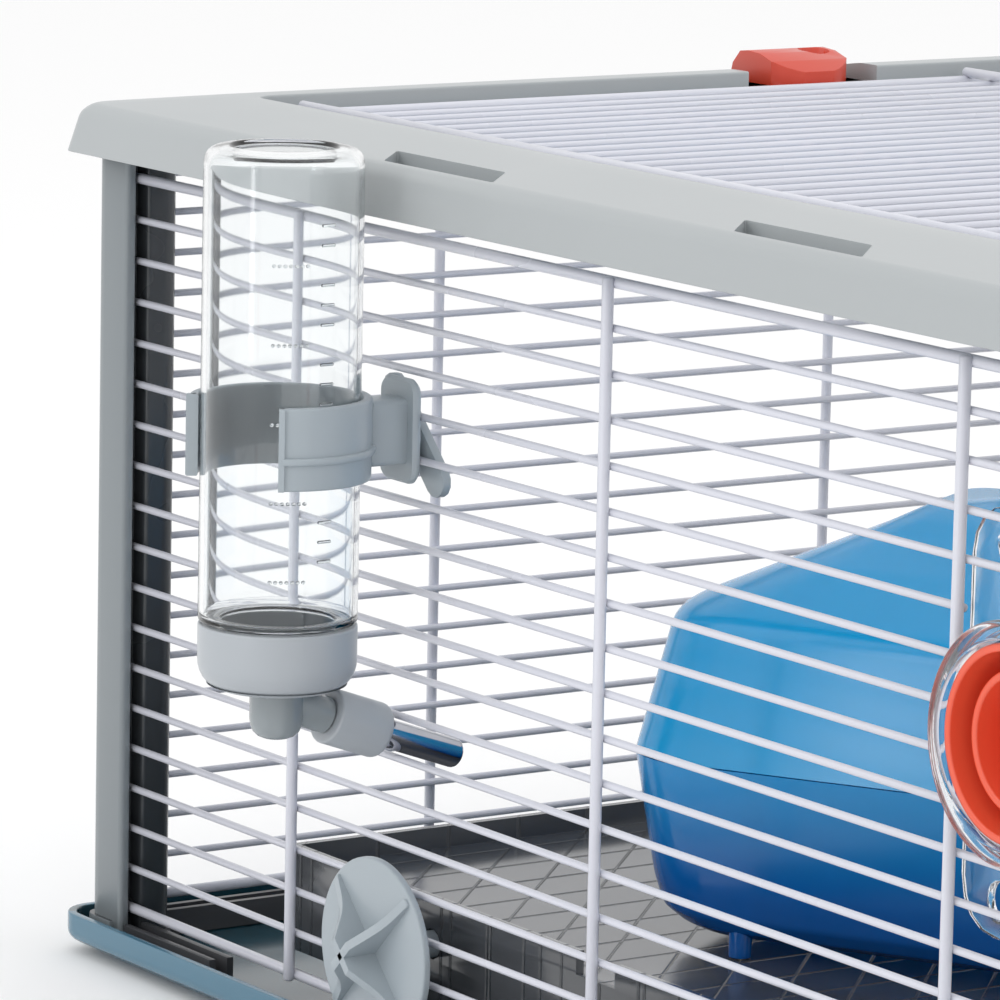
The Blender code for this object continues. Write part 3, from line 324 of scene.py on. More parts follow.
def softened(node, finish, body, edge, name=None, segments=2):
    """A piece with a CAD node's shape and its sharp edges rounded: flat faces are joined up first, then a
    bevel of the given width goes round them."""
    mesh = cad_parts[node].data.copy()
    mesh.materials.clear()
    shape = bmesh.new()
    shape.from_mesh(mesh)
    bmesh.ops.remove_doubles(shape, verts=shape.verts, dist=1e-6)
    bmesh.ops.dissolve_limit(shape, angle_limit=math.radians(2), verts=shape.verts, edges=shape.edges)
    shape.to_mesh(mesh)
    shape.free()
    mesh.materials.append(finish)
    mesh.shade_smooth()
    made = bpy.data.objects.new(name or node + "_piece", mesh)
    bpy.context.scene.collection.objects.link(made)
    bevel = made.modifiers.new("broken_edges", "BEVEL")
    bevel.width = edge * MM
    bevel.segments = segments
    bevel.limit_method = "ANGLE"
    bevel.angle_limit = math.radians(35)
    bevel.harden_normals = True
    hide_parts(node)
    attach(made, body)
    return made


foot_grey = plastic("foot_grey", (0.062, 0.064, 0.070), 0.34)
for corner in CORNERS:
    softened(f"corner_foot_{corner}", foot_grey, "cage", 0.3)

# --- Corner posts ----------------------------------------------------------------------------------------
# Upright extrusions of grey plastic. Each has a lighter lip along its outer corner, a dark lobe inside the
# cage, and a groove between them on both faces, which the wires' ends stand in. The groove's faces take the
# lobe's dark colour as painted shade. A collar goes round the lip's foot.

WIRE_IN_POST = 5.0
POST_SIZE = 17.4
GROOVE = 1.8
GROOVE_DEEP = 6.0
END_SIZE = 0.965
COLLAR_REACH = 9.0

post_lip = plastic("post_lip", (0.21, 0.235, 0.25), 0.33)
# The dark finish colours the lobe, and the faces of both grooves as painted shade.
post_dark_lobe_and_groove_shade = plastic("post_dark_lobe_and_groove_shade", (0.042, 0.047, 0.052), 0.26)


def post_outline():
    """The post's section, with x and y running into the cage from where the wires' planes cross."""
    out, tip = -WIRE_IN_POST, POST_SIZE - WIRE_IN_POST
    deep = tip - GROOVE_DEEP
    half = [(out, out), (tip, out), (tip, -GROOVE), (deep, -GROOVE), (deep, GROOVE), (tip, GROOVE)]
    ease = [6.0, 1.4, 1.2, 0.3, 0.3, 1.2]
    corners = half + [(tip, tip)] + [(b, a) for a, b in half[:0:-1]]
    trims = ease + [5.5] + ease[:0:-1]
    return eased(corners, trims, 5)


def make_post(corner):
    low, high = span(f"corner_post_{corner}")

    def level(flat, height):
        """A ring at a height above the post's foot, from a section that runs into the cage."""
        rise = np.full(len(flat), low[2] + height)
        return np.column_stack([cross_x - side_x * flat[:, 0], cross_y - side_y * flat[:, 1], rise])

    side_x = -1 if "left" in corner else 1
    side_y = -1 if "front" in corner else 1
    cross_x = side_x * (max(abs(low[0]), abs(high[0])) - WIRE_IN_POST)
    cross_y = side_y * (max(abs(low[1]), abs(high[1])) - WIRE_IN_POST)
    flat = post_outline()
    middle = (POST_SIZE / 2 - WIRE_IN_POST) * np.ones(2)
    rings = []
    tall = high[2] - low[2]
    heights = [(0, END_SIZE), (0.5, 1), (tall - 0.5, 1), (tall, END_SIZE)]
    for height, size in heights:
        rings.append(level(middle + (flat - middle) * size, height))
    # The collar follows the lip only, and stops short of the grooves.
    collar = []
    lip = -WIRE_IN_POST - 1.1
    outside = [(COLLAR_REACH, lip), (lip, lip), (lip, COLLAR_REACH)]
    outside = eased(outside, [0, 6.5, 0], 10, closed=False)
    inside = [(-2.4, COLLAR_REACH), (-2.4, -2.4), (COLLAR_REACH, -2.4)]
    inside = eased(inside, [0, 3.0, 0], 10, closed=False)
    section = np.concatenate([outside, inside])
    for height, grow in ((0, 1.0), (0.6, 1.02), (3.2, 1.02), (3.8, 1.0)):
        collar.append(level(section * grow, height))

    # Picks the lobe's faces and the grooves' faces. The grooves are dark as painted shade.
    def lobe(middles):
        inward_x = side_x * (cross_x - middles[:, 0])
        inward_y = side_y * (cross_y - middles[:, 1])
        return (inward_x > -GROOVE - 0.05) & (inward_y > -GROOVE - 0.05)

    parts = [skin(rings), skin(collar)]
    make_piece(f"corner_post_{corner}_piece", parts, [post_lip, post_dark_lobe_and_groove_shade], "cage",
               [f"corner_post_{corner}"], pick=lobe)


for corner in CORNERS:
    make_post(corner)

# --- Wire sides ------------------------------------------------------------------------------------------
# Round mild-steel wire under a pale powder coat. Thin level wires stand in the posts' grooves, with a thicker
# one at the top and bottom, and thick upright stays are spot-welded across their outside.

ROWS = 19
WIRE = 1.0
EDGE_WIRE = 1.45
STAY = 1.5
WELD = 0.22
LONG_STAYS = (-141.0, 0.0, 141.0)
SHORT_STAYS = (-69.0, 69.0)
PORT_STAY = 205.0
PORT_ROWS = range(9, 14)


def rods(starts, ends, radius, sides=14):
    """Straight round wires with slightly rounded ends, as one set of points and faces. Each has four rings,
    at its ends and just inside them, and all are worked out at once."""
    starts, ends = np.atleast_2d(starts).astype(float), np.atleast_2d(ends).astype(float)
    along = ends - starts
    length = np.linalg.norm(along, axis=1, keepdims=True)
    along = along / length
    helper = np.where(np.abs(along[:, 2:3]) > 0.9, [[1.0, 0, 0]], [[0, 0, 1.0]])
    across = np.cross(along, helper)
    across = across / np.linalg.norm(across, axis=1, keepdims=True)
    up = np.cross(along, across)
    angle = 2 * np.pi * np.arange(sides) / sides
    circle = across[:, None] * np.cos(angle)[None, :, None] + up[:, None] * np.sin(angle)[None, :, None]
    radius = np.broadcast_to(np.asarray(radius, float), len(starts))[:, None, None, None]
    easing = 0.35 * radius[:, 0, 0]
    reach = np.concatenate([np.zeros_like(length), easing, length - easing, length], 1)
    size = np.array([0.6, 1, 1, 0.6])[None, :, None, None]
    middles = starts[:, None] + along[:, None] * reach[:, :, None]
    rings = middles[:, :, None] + circle[:, None] * radius * size
    return [skin(ring) for ring in rings]


def powder_coat(name, colour, roughness):
    """Powder coat: a hard paint with a fine pebble, a little deeper where it pooled."""
    return plastic(name, colour, roughness, mottle=0.04, grain=0.05, coat=0.25, sheen_scale=900)


wire_coat = powder_coat("wire_coat", (0.66, 0.67, 0.74), 0.28)


def make_side(node, along, plane, outward, stays, half):
    """One side. Along is the axis its level wires follow, plane is where they lie on the other axis."""
    low, high = span(node)
    bottom, top = low[2] + STAY, high[2] - STAY
    across = 1 - along
    levels = np.linspace(bottom, top, ROWS)

    def place(u, z, depth=0.0):
        point = np.zeros(3)
        point[along], point[across], point[2] = u, plane + outward * depth, z
        return point

    runs = [(-half, half, z) for z in levels]
    uprights = [(u, low[2], high[2]) for u in stays]
    if node == "front_wires":
        split = [levels[row] for row in PORT_ROWS]
        runs = [run for run in runs if run[2] not in split]
        runs += [(-half, LONG_STAYS[2], z) for z in split] + [(PORT_STAY, half, z) for z in split]
        uprights.append((PORT_STAY, levels[PORT_ROWS[0] - 1] - STAY, levels[PORT_ROWS[-1] + 1] + STAY))
    radii = [EDGE_WIRE if z in (levels[0], levels[-1]) else WIRE for _, _, z in runs]
    starts = [place(run[0], run[2]) for run in runs]
    ends = [place(run[1], run[2]) for run in runs]
    parts = rods(starts, ends, radii)
    depth = WIRE + STAY - WELD
    starts = [place(u, start, depth) for u, start, _ in uprights]
    ends = [place(u, end, depth) for u, _, end in uprights]
    parts += rods(starts, ends, STAY, 18)
    make_piece(f"{node}_piece", parts, wire_coat, "cage", [node], sharp=60)


front_low, front_high = span("front_wires")
side_high = span("left_wires")[1]
front_plane = front_high[1] - WIRE
left_plane = side_high[0] - WIRE
long_half = front_high[0]
short_half = side_high[1]
make_side("front_wires", 0, front_plane, -1, LONG_STAYS, long_half)
make_side("back_wires", 0, -front_plane, 1, LONG_STAYS, long_half)
make_side("left_wires", 1, left_plane, -1, SHORT_STAYS, short_half)
make_side("right_wires", 1, -left_plane, 1, SHORT_STAYS, short_half)

# --- Top frame -------------------------------------------------------------------------------------------
# One satin light grey moulding: a skirt that leans in, a soft shoulder, and a top that rises to a level rim
# round the roof. Four slanted slots go through the long rails, and a pocket holds the latch.

frame_grey = plastic("frame_grey", (0.39, 0.415, 0.425), 0.36, mottle=0.03, grain=0.04, coat=0.15)
OPEN_FROM_END = 31.0
OPEN_FROM_SIDE = 42.5
RIM_FLAT = 8.0
SKIRT_WALL = 2.5
SKIRT_DROP = 7.0
FRAME_THICK = 9.0
FRAME_ROUND = 5.5
SHOULDER_RISE = 4.0
SHOULDER_IN = 5.0
SLOT_PLACE = 76.0
SLOT_HALF = 25.0
SLOT_LEAN = 5.0
SLOT_MIDDLE = 176.0
SLOT_WIDE = 5.25
LATCH_SWING = 23.0
LATCH_POCKET = 5.0


def carved(part, tool):
    """A part with another cut out of it by an exact Boolean."""
    made = []
    for points, faces in (part, tool):
        mesh = bpy.data.meshes.new("carving")
        mesh.from_pydata(points.tolist(), [], faces)
        shape = bmesh.new()
        shape.from_mesh(mesh)
        bmesh.ops.remove_doubles(shape, verts=shape.verts, dist=1e-3)
        bmesh.ops.recalc_face_normals(shape, faces=shape.faces)
        shape.to_mesh(mesh)
        shape.free()
        made.append(bpy.data.objects.new("carving", mesh))
        bpy.context.scene.collection.objects.link(made[-1])
    change = made[0].modifiers.new("cut", "BOOLEAN")
    change.object = made[1]
    bpy.context.view_layer.update()
    left = made[0].evaluated_get(bpy.context.evaluated_depsgraph_get()).to_mesh()
    points = np.empty(len(left.vertices) * 3)
    left.vertices.foreach_get("co", points)
    faces = [list(polygon.vertices) for polygon in left.polygons]
    for each in made:
        mesh = each.data
        bpy.data.objects.remove(each)
        bpy.data.meshes.remove(mesh)
    return points.reshape(-1, 3), faces


def joined(parts):
    """Several parts as one set of points and faces."""
    starts = np.cumsum([0] + [len(points) for points, _ in parts])
    faces = []
    for start, (_, part_faces) in zip(starts, parts):
        faces += [[int(corner + start) for corner in face] for face in part_faces]
    return np.concatenate([points for points, _ in parts]), faces


def block(low, high):
    """A plain box from its lowest and highest corner."""
    (x0, y0, z0), (x1, y1, z1) = low, high
    flat = [(x0, y0), (x1, y0), (x1, y1), (x0, y1)]
    return skin([[(x, y, z) for x, y in flat] for z in (z0, z1)])


def make_frame():
    x, y, top = span("top_frame")[1]
    under = top - FRAME_THICK
    bottom, shoulder = under - SKIRT_DROP, under + SHOULDER_RISE
    in_x, in_y, wall = x - OPEN_FROM_END, y - OPEN_FROM_SIDE, SKIRT_WALL
    stations = [
        (x, y, FRAME_ROUND, bottom),
        (x - 2.5, y - 2.5, FRAME_ROUND, shoulder),
        (x - SHOULDER_IN, y - SHOULDER_IN, FRAME_ROUND, shoulder + 2.4),
        (in_x + RIM_FLAT, in_y + RIM_FLAT, 9.0, top),
        (in_x, in_y, 6.0, top),
        (in_x, in_y, 6.0, under),
        (x - SHOULDER_IN, y - SHOULDER_IN, FRAME_ROUND - wall, under),
        (x - wall, y - wall, FRAME_ROUND - wall, bottom),
    ]
    path = eased(stations, [0.6, 1.7, 1.7, 4.5, 0.8, 0.4, 0.8, 0.4], 6)
    shell = skin(oblong_rings(path, 10), "joined")
    tools = []
    for side_x in (-1, 1):
        for side_y in (-1, 1):
            middle = side_x * SLOT_PLACE
            far, near = side_y * (SLOT_MIDDLE + SLOT_WIDE), side_y * (SLOT_MIDDLE - SLOT_WIDE)
            flat = [(middle - SLOT_HALF + SLOT_LEAN, far), (middle + SLOT_HALF + SLOT_LEAN, far)]
            flat += [(middle + SLOT_HALF - SLOT_LEAN, near), (middle - SLOT_HALF - SLOT_LEAN, near)]
            flat = eased(flat, 1.2, 4)
            tools.append(skin([np.column_stack([flat, np.full(len(flat), z)]) for z in (under - 2, top + 2)]))
    latch_low, latch_high = span("roof_latch")
    latch_y = (latch_low[1] + latch_high[1]) / 2
    floor = top - LATCH_POCKET
    start, end = latch_low[0] - 7, -in_x
    tools.append(block((start, latch_y - LATCH_SWING, floor), (end + 2, latch_y + LATCH_SWING, top + 2)))
    seat = block((start + 4, latch_y - LATCH_SWING, under + 1), (end - 0.6, latch_y + LATCH_SWING, floor))
    parts = [carved(shell, joined(tools)), seat]
    made = make_piece("top_frame_piece", parts, frame_grey, "cage", ["top_frame"])
    bevel = made.modifiers.new("broken_edges", "BEVEL")
    bevel.width = 0.5 * MM
    bevel.segments = 2
    bevel.limit_method = "ANGLE"
    bevel.angle_limit = math.radians(40)
    bevel.harden_normals = True


make_frame()

# --- Roof grille -----------------------------------------------------------------------------------------
# A lift-up panel of the same coated wire. Close-set wires run from front to back, with a heavy one at each
# end, and cross bars are welded over and under them. The end wire nearest the port is the hinge.

ROOF_PITCH = 11.3
BAR_STUB = 9.0
GRIP_BAR = 97.0
UNDER_BAR = 44.0


def make_roof():
    high = span("roof_grille")[1]
    middle = high[2] - WIRE - 2 * STAY
    end = high[0] - STAY
    half_y = high[1]
    count = round(2 * end / ROOF_PITCH)
    places = np.linspace(-end, end, count + 1)
    radius = np.full(len(places), WIRE)
    radius[[0, -1]] = STAY
    level = np.full(len(places), middle)
    starts = np.column_stack([places, np.full(len(places), -half_y), level])
    ends = np.column_stack([places, np.full(len(places), half_y), level])
    parts = rods(starts, ends, radius)
    depth = WIRE + STAY - WELD
    edge = half_y - BAR_STUB
    for y, side in ((-edge, 1), (GRIP_BAR, 1), (edge, 1), (-UNDER_BAR, -1), (UNDER_BAR, -1)):
        z = middle + side * depth
        parts += rods((-end - STAY, y, z), (end + STAY, y, z), STAY, 18)
    make_piece("roof_grille_piece", parts, wire_coat, "roof", ["roof_grille"], sharp=60)


make_roof()

# --- Hinge clips -----------------------------------------------------------------------------------------
# Two small hooks of the frame's plastic that the roof's last wire turns in, on feet that reach the frame.

for side in ("front", "back"):
    softened(f"hinge_clip_{side}", frame_grey, "cage", 0.25)

# --- Latch and pin ---------------------------------------------------------------------------------------
# A satin red turn button, humped along its length and hollowed on top for a finger. It turns on a steel pin
# that stands in the frame.

latch_red = plastic("latch_red", (0.62, 0.055, 0.025), 0.34, mottle=0.06, grain=0.04, coat=0.2)
pin_steel = plastic("pin_steel", (0.45, 0.45, 0.46), 0.3)
pin_steel.node_tree.nodes["Principled BSDF"].inputs["Metallic"].default_value = 1.0
roof_latch = softened("roof_latch", latch_red, "latch", 1.3, segments=4)
roof_latch.modifiers["broken_edges"].angle_limit = math.radians(14)


def lathe(profile, centre, axis="Z", sides=72, turn=None):
    """A profile of radius and height turned about an axis through centre, closed on itself unless it
    touches the axis. A turn is a matrix that tilts it about the centre."""
    profile = np.asarray(profile, float)
    angle = 2 * np.pi * (np.arange(sides) + 0.5) / sides
    along = np.repeat(profile[:, 1:2], sides, 1)
    across = profile[:, :1] * np.cos(angle)
    up = profile[:, :1] * np.sin(angle)
    rings = np.stack([across, up, along] if axis == "Z" else [across, along, up], -1)
    if turn is not None:
        rings = rings @ np.asarray(turn).T
    return skin(rings + np.asarray(centre, float), "joined" if profile[:, 0].min() > 0 else "capped")


def make_pin():
    low, high = span("latch_pin")
    radius = (high[0] - low[0]) / 2
    profile = [(0, low[2]), (radius, low[2]), (radius, high[2]), (0, high[2])]
    profile = eased(profile, [0, 0.3, 0.5, 0], 3, False)
    pin = lathe(profile, ((low[0] + high[0]) / 2, (low[1] + high[1]) / 2, 0), sides=36)
    make_piece("latch_pin_piece", [pin], pin_steel, "cage", ["latch_pin"])


make_pin()

# --- Shelf -----------------------------------------------------------------------------------------------
# A glossy dark grey platform with a raised lip. Fine lines are moulded into its top, straight across and
# at a slant, so that feet grip it.


def engraved(finish, across, slant, width, depth):
    """Cuts lines into a finish, every across mm of X and every slant mm along the diagonal of X and Y. A line
    is where the distance to the nearest multiple falls under half its width."""
    nodes, links = finish.node_tree.nodes, finish.node_tree.links
    parts = nodes.new("ShaderNodeSeparateXYZ")
    links.new(nodes["Texture Coordinate"].outputs["Object"], parts.inputs["Vector"])
    diagonal = nodes.new("ShaderNodeMath")
    diagonal.operation = "ADD"
    links.new(parts.outputs["X"], diagonal.inputs[0])
    links.new(parts.outputs["Y"], diagonal.inputs[1])
    heights = []
    for source, pitch in ((parts.outputs["X"], across), (diagonal.outputs["Value"], slant)):
        fold = nodes.new("ShaderNodeMath")
        fold.operation = "PINGPONG"
        fold.inputs[1].default_value = pitch / 2 * MM
        links.new(source, fold.inputs[0])
        line = nodes.new("ShaderNodeMapRange")
        line.interpolation_type = "SMOOTHSTEP"
        line.inputs["From Max"].default_value = width * MM
        links.new(fold.outputs["Value"], line.inputs["Value"])
        heights.append(line.outputs["Result"])
    both = nodes.new("ShaderNodeMath")
    both.operation = "MULTIPLY"
    links.new(heights[0], both.inputs[0])
    links.new(heights[1], both.inputs[1])
    cut = nodes.new("ShaderNodeBump")
    cut.inputs["Strength"].default_value = 0.9
    cut.inputs["Distance"].default_value = depth * MM
    links.new(both.outputs["Value"], cut.inputs["Height"])
    links.new(nodes["Bump"].outputs["Normal"], cut.inputs["Normal"])
    links.new(cut.outputs["Normal"], nodes["Principled BSDF"].inputs["Normal"])


shelf_grey = plastic("shelf_grey", (0.075, 0.080, 0.088), 0.17, mottle=0.05, coat=0.35)
engraved(shelf_grey, 17.0, 23.0, 0.8, 0.7)
softened("shelf", shelf_grey, "cage", 0.7, segments=3)

# --- Shelf knobs -----------------------------------------------------------------------------------------
# Four light blue-grey discs with crossed ribs to grip them by. A shaft runs in between two wires, and a claw
# on its end turns behind the shelf's wall and holds the shelf up.

KNOB_DISC = 2.2
KNOB_RIB_HALF = 1.2
RIB_RISE = 10.0
RIB_HUB = 5.0
SHAFT_RADIUS = 3.6
CLAW_HALF_WIDTH = 2.5
CLAW_THICK = 2.5
knob_grey = plastic("knob_grey", (0.37, 0.42, 0.455), 0.33, mottle=0.04, coat=0.15)


def slab(outline, axis, start, end, edge=0.4):
    """A flat outline pushed from start to end along an axis, with its edges eased by drawing the first and
    last of its four rings a little nearer their middle."""
    outline = np.asarray(outline, float)
    middle = outline.mean(0)
    reach = np.linalg.norm(outline - middle, axis=1).max()
    step = edge * np.sign(end - start)
    rings = []
    less = 1 - edge / reach
    for along, size in ((start, less), (start + step, 1), (end - step, 1), (end, less)):
        drawn = middle + (outline - middle) * size
        run = np.full(len(drawn), along)
        columns = {"X": (run, drawn[:, 0], drawn[:, 1]), "Y": (drawn[:, 0], run, drawn[:, 1])}
        columns["Z"] = (drawn[:, 0], drawn[:, 1], run)
        rings.append(np.column_stack(columns[axis]))
    return skin(rings)


def turned_about_y(part, centre, degrees):
    """A part turned about an axis along Y through centre."""
    points, faces = part
    angle = math.radians(degrees)
    offset = points - centre
    x = offset[:, 0] * math.cos(angle) + offset[:, 2] * math.sin(angle)
    z = offset[:, 2] * math.cos(angle) - offset[:, 0] * math.sin(angle)
    return np.column_stack([x, offset[:, 1], z]) + centre, faces


def make_knob(corner):
    node = f"shelf_knob_{corner}"
    low, high = span(node)
    outward = -1 if "front" in corner else 1
    radius = (high[0] - low[0]) / 2
    centre = np.array([(low[0] + high[0]) / 2, 0, high[2] - radius])
    tip = low[1] if outward < 0 else high[1]
    back = high[1] if outward < 0 else low[1]
    face = tip - outward * (RIB_RISE - 0.2)
    inner = face - outward * KNOB_DISC
    profile = eased([(0, inner), (radius, inner), (radius, face), (0, face)], [0, 0.5, 0.8, 0], 4, False)
    parts = [lathe(profile, centre, "Y", 64)]
    rise = np.array([(RIB_HUB, RIB_RISE), (14, 3.2), (radius - 1, 1.0), (radius - 1, -0.4)])
    half = eased(rise, [2.0, 4.0, 0.5, 0], 5, False)
    flat = np.concatenate([half, (half * [-1, 1])[::-1]])
    flat[:, 1] = face + outward * (flat[:, 1] - 0.2)
    for turn in (45, -45):
        rib = slab(flat, "Z", -KNOB_RIB_HALF, KNOB_RIB_HALF, 0.35)
        parts.append(turned_about_y((rib[0] + centre, rib[1]), centre, turn))
    root = inner + outward
    shaft = [(0, back), (SHAFT_RADIUS, back), (SHAFT_RADIUS, root), (0, root)]
    parts.append(lathe(shaft, centre, "Y", 32))
    claw = oblong(CLAW_HALF_WIDTH, (centre[2] - low[2]) / 2, 1.2, 4) + [centre[0], (centre[2] + low[2]) / 2]
    parts.append(slab(claw, "Y", back, back + outward * CLAW_THICK, 0.3))
    make_piece(f"{node}_piece", parts, knob_grey, f"knob_{corner}", [node])


for corner in CORNERS:
    make_knob(corner)

# --- House -----------------------------------------------------------------------------------------------
# Two shells of translucent blue plastic, paler above than below. The base stands on four pegs and has a
# round-topped doorway towards the port. The roof leans in to its shoulder and rises in two slopes.

HOUSE_MIDDLE = (-18.0, -47.0)
HOUSE_TURN = math.radians(30)
HOUSE_HALF = 71.0
FOOT_HALF = 60.0
HOUSE_CORNER = 22.0
HOUSE_WALL = 2.4
DOOR_WIDTH = 46.0
DOOR_HEIGHT = 44.0
PEG_HEIGHT = 5.0
PEG_RADIUS = 3.0
PEG_INSET = 1.2
PEG_ALONG = 22.0
ROOF_RISE = 27.0


def graded(finish, low_colour, low_z, high_z):
    """Fades a finish from another colour, which it has at low_z and under it, to its own at high_z."""
    nodes, links = finish.node_tree.nodes, finish.node_tree.links
    parts = nodes.new("ShaderNodeSeparateXYZ")
    links.new(nodes["Texture Coordinate"].outputs["Object"], parts.inputs["Vector"])
    rise = nodes.new("ShaderNodeMapRange")
    rise.interpolation_type = "SMOOTHSTEP"
    rise.inputs["From Min"].default_value = low_z * MM
    rise.inputs["From Max"].default_value = high_z * MM
    links.new(parts.outputs["Z"], rise.inputs["Value"])
    blend = nodes.new("ShaderNodeMix")
    blend.data_type = "RGBA"
    blend.inputs["A"].default_value = (*low_colour, 1)
    own = nodes["Principled BSDF"].inputs["Base Color"].links[0].from_socket
    links.new(rise.outputs["Result"], blend.inputs["Factor"])
    links.new(own, blend.inputs["B"])
    links.new(blend.outputs["Result"], nodes["Principled BSDF"].inputs["Base Color"])


def on_house(x, y):
    """The cage's X and Y of a place that is measured along the house's own sides from its middle."""
    cage_x = HOUSE_MIDDLE[0] + x * math.cos(HOUSE_TURN) - y * math.sin(HOUSE_TURN)
    cage_y = HOUSE_MIDDLE[1] + x * math.sin(HOUSE_TURN) + y * math.cos(HOUSE_TURN)
    return cage_x, cage_y


def house_rings(stations):
    """Level round-cornered squares, turned with the house."""
    rings = oblong_rings(stations, 10)
    rings[..., 0], rings[..., 1] = on_house(rings[..., 0], rings[..., 1])
    return rings


house_blue = plastic("house_blue", (0.0, 0.36, 0.82), 0.2, mottle=0.08, clear=0.3, coat=0.2)
graded(house_blue, (0.0, 0.13, 0.50), 52, 92)
house_lid_blue = plastic("house_lid_blue", (0.0, 0.43, 0.86), 0.2, mottle=0.08, clear=0.3, coat=0.2)


def make_house():
    low, high = span("house_base")
    floor, seam = low[2] + PEG_HEIGHT, high[2]
    grow = HOUSE_HALF - FOOT_HALF
    stations = [(FOOT_HALF - 1.5, FOOT_HALF - 1.5, HOUSE_CORNER - 1.5, floor)]
    for share, rise in ((0.15, 1.8), (0.45, 5.5), (0.62, 13), (1, seam - floor)):
        half = FOOT_HALF + share * grow
        stations.append((half, half, HOUSE_CORNER, floor + rise))
    outside = eased(stations, [0, 0.8, 1.5, 3.0, 0], 5, False)
    wall = HOUSE_WALL
    inside = outside - [wall, wall, wall, 0]
    shell = skin(house_rings(np.concatenate([outside, inside[::-1]])), "joined")
    half = DOOR_WIDTH / 2
    angle = np.linspace(0, np.pi, 25)
    top = floor + DOOR_HEIGHT - half
    door = np.column_stack([half * np.cos(angle), top + half * np.sin(angle)])
    door = np.concatenate([[(-half, floor - 5), (half, floor - 5)], door])
    points, faces = skin([np.column_stack([np.full(len(door), x), door]) for x in (5.0, HOUSE_HALF + 9)])
    points[:, 0], points[:, 1] = on_house(points[:, 0], points[:, 1])
    parts = [carved(shell, (points, faces))]
    peg = [(0, low[2]), (PEG_RADIUS, low[2]), (PEG_RADIUS, floor + 2), (0, floor + 2)]
    peg = eased(peg, [0, 0.5, 0.2, 0], 3, False)
    out, along = FOOT_HALF - PEG_INSET, FOOT_HALF - PEG_ALONG
    for x, y in ((along, out), (-along, out), (-along, -out), (along, -out)):
        parts.append(lathe(peg, (*on_house(x, y), 0), sides=24))
    make_piece("house_base_piece", parts, house_blue, "house", ["house_base"])


def make_house_roof():
    low, high = span("house_roof")
    seam, top = low[2], high[2]
    shoulder = top - ROOF_RISE
    half, corner, wall = HOUSE_HALF, HOUSE_CORNER, HOUSE_WALL
    stations = np.array([
        (half, half, corner, seam),
        (half - 7, half - 7, corner, shoulder),
        (half - 12, half - 12, corner, shoulder + 3.5),
        (half * 0.52, half * 0.62, corner * 0.8, shoulder + 13.5),
        (half * 0.30, half * 0.40, corner * 0.5, shoulder + 20.3),
        (half * 0.12, half * 0.24, corner * 0.3, top),
    ])
    outside = eased(stations, [0, 4.5, 2.2, 3, 2, 0], 6, False)
    drop = np.linspace(0, 1, len(outside))[:, None] * [0, 0, 0, wall]
    inside = outside - [wall, wall, wall, 0] - drop
    shell = skin(house_rings(np.concatenate([inside[::-1], outside])))
    make_piece("house_roof_piece", [shell], house_lid_blue, "house_lid", ["house_roof"])


make_house()
make_house_roof()

# --- Bottle ----------------------------------------------------------------------------------------------
# A clear blown bottle that hangs upside down on its cap. Its closed end has round shoulders, a ring and a
# dished middle, and a scale of short raised marks and beads runs down its side.

BOTTLE_WALL = 1.3
NECK_RADIUS = 16.0
bottle_clear = plastic("bottle_clear", (0.97, 0.985, 0.99), 0.03, mottle=0.0, grain=0.0, clear=1.0, ior=1.42)
bottle_low, bottle_high = span("bottle")
bottle_radius = (bottle_high[0] - bottle_low[0]) / 2
bottle_x = (bottle_high[0] + bottle_low[0]) / 2
bottle_y = (bottle_high[1] + bottle_low[1]) / 2
cap_low, cap_high = span("bottle_cap")


def scale_marks():
    """Short raised dashes up the side of the bottle that faces the port, and longer rows of beads."""
    parts = []
    bead = [(0, -0.5), (0.45, -0.3), (0.55, 0), (0.45, 0.3), (0, 0.5)]
    for step, z in enumerate(np.arange(cap_high[2] + 14, bottle_high[2] - 16, 5.0)):
        if step % 4 == 0:
            for angle in np.radians(-26.0) + np.radians(np.arange(-12, 13, 4.0)):
                x = bottle_x + bottle_radius * math.cos(angle)
                y = bottle_y + bottle_radius * math.sin(angle)
                parts.append(lathe(bead, (x, y, z), sides=12))
            continue
        spread = np.radians(2.0) + np.radians([-5.5, 5.5])
        xs, ys = bottle_x + bottle_radius * np.cos(spread), bottle_y + bottle_radius * np.sin(spread)
        parts += rods((xs[0], ys[0], z), (xs[1], ys[1], z), 0.4, 10)
    return parts


def make_bottle():
    base, top, radius, wall = cap_high[2], bottle_high[2], bottle_radius, BOTTLE_WALL
    neck = bottle_low[2]
    outside = [(NECK_RADIUS, neck), (NECK_RADIUS, base + 0.3), (radius, base + 0.3), (radius, top - 0.4)]
    outside += [(radius - 6.4, top), (radius - 7.4, top - 1.2), (0, top - 1.2)]
    outside = eased(outside, [0, 0.5, 1.6, 4.5, 0.6, 0.4, 0], 6, False)
    inside = [(NECK_RADIUS - wall, neck), (NECK_RADIUS - wall, base + 0.3 + wall)]
    inside += [(radius - wall, base + 0.3 + wall), (radius - wall, top - 1.7)]
    inside += [(radius - 7.0, top - wall), (radius - 8.0, top - 1.2 - wall), (0, top - 1.2 - wall)]
    inside = eased(inside, [0, 0.5, 1.6, 4.0, 0.6, 0.4, 0], 6, False)
    # The wall runs from the middle of the closed end, down the outside, and back up the inside.
    shell = lathe(np.concatenate([outside[::-1], inside]), (bottle_x, bottle_y, 0), sides=96)
    make_piece("bottle_piece", [shell] + scale_marks(), bottle_clear, "bottle", ["bottle"])


make_bottle()

# --- Bottle cap ------------------------------------------------------------------------------------------
# A light grey screw cap, smooth round the side and rounded under, with a hole that the elbow turns in.

cap_grey = plastic("cap_grey", (0.40, 0.43, 0.46), 0.34, mottle=0.03, coat=0.15)


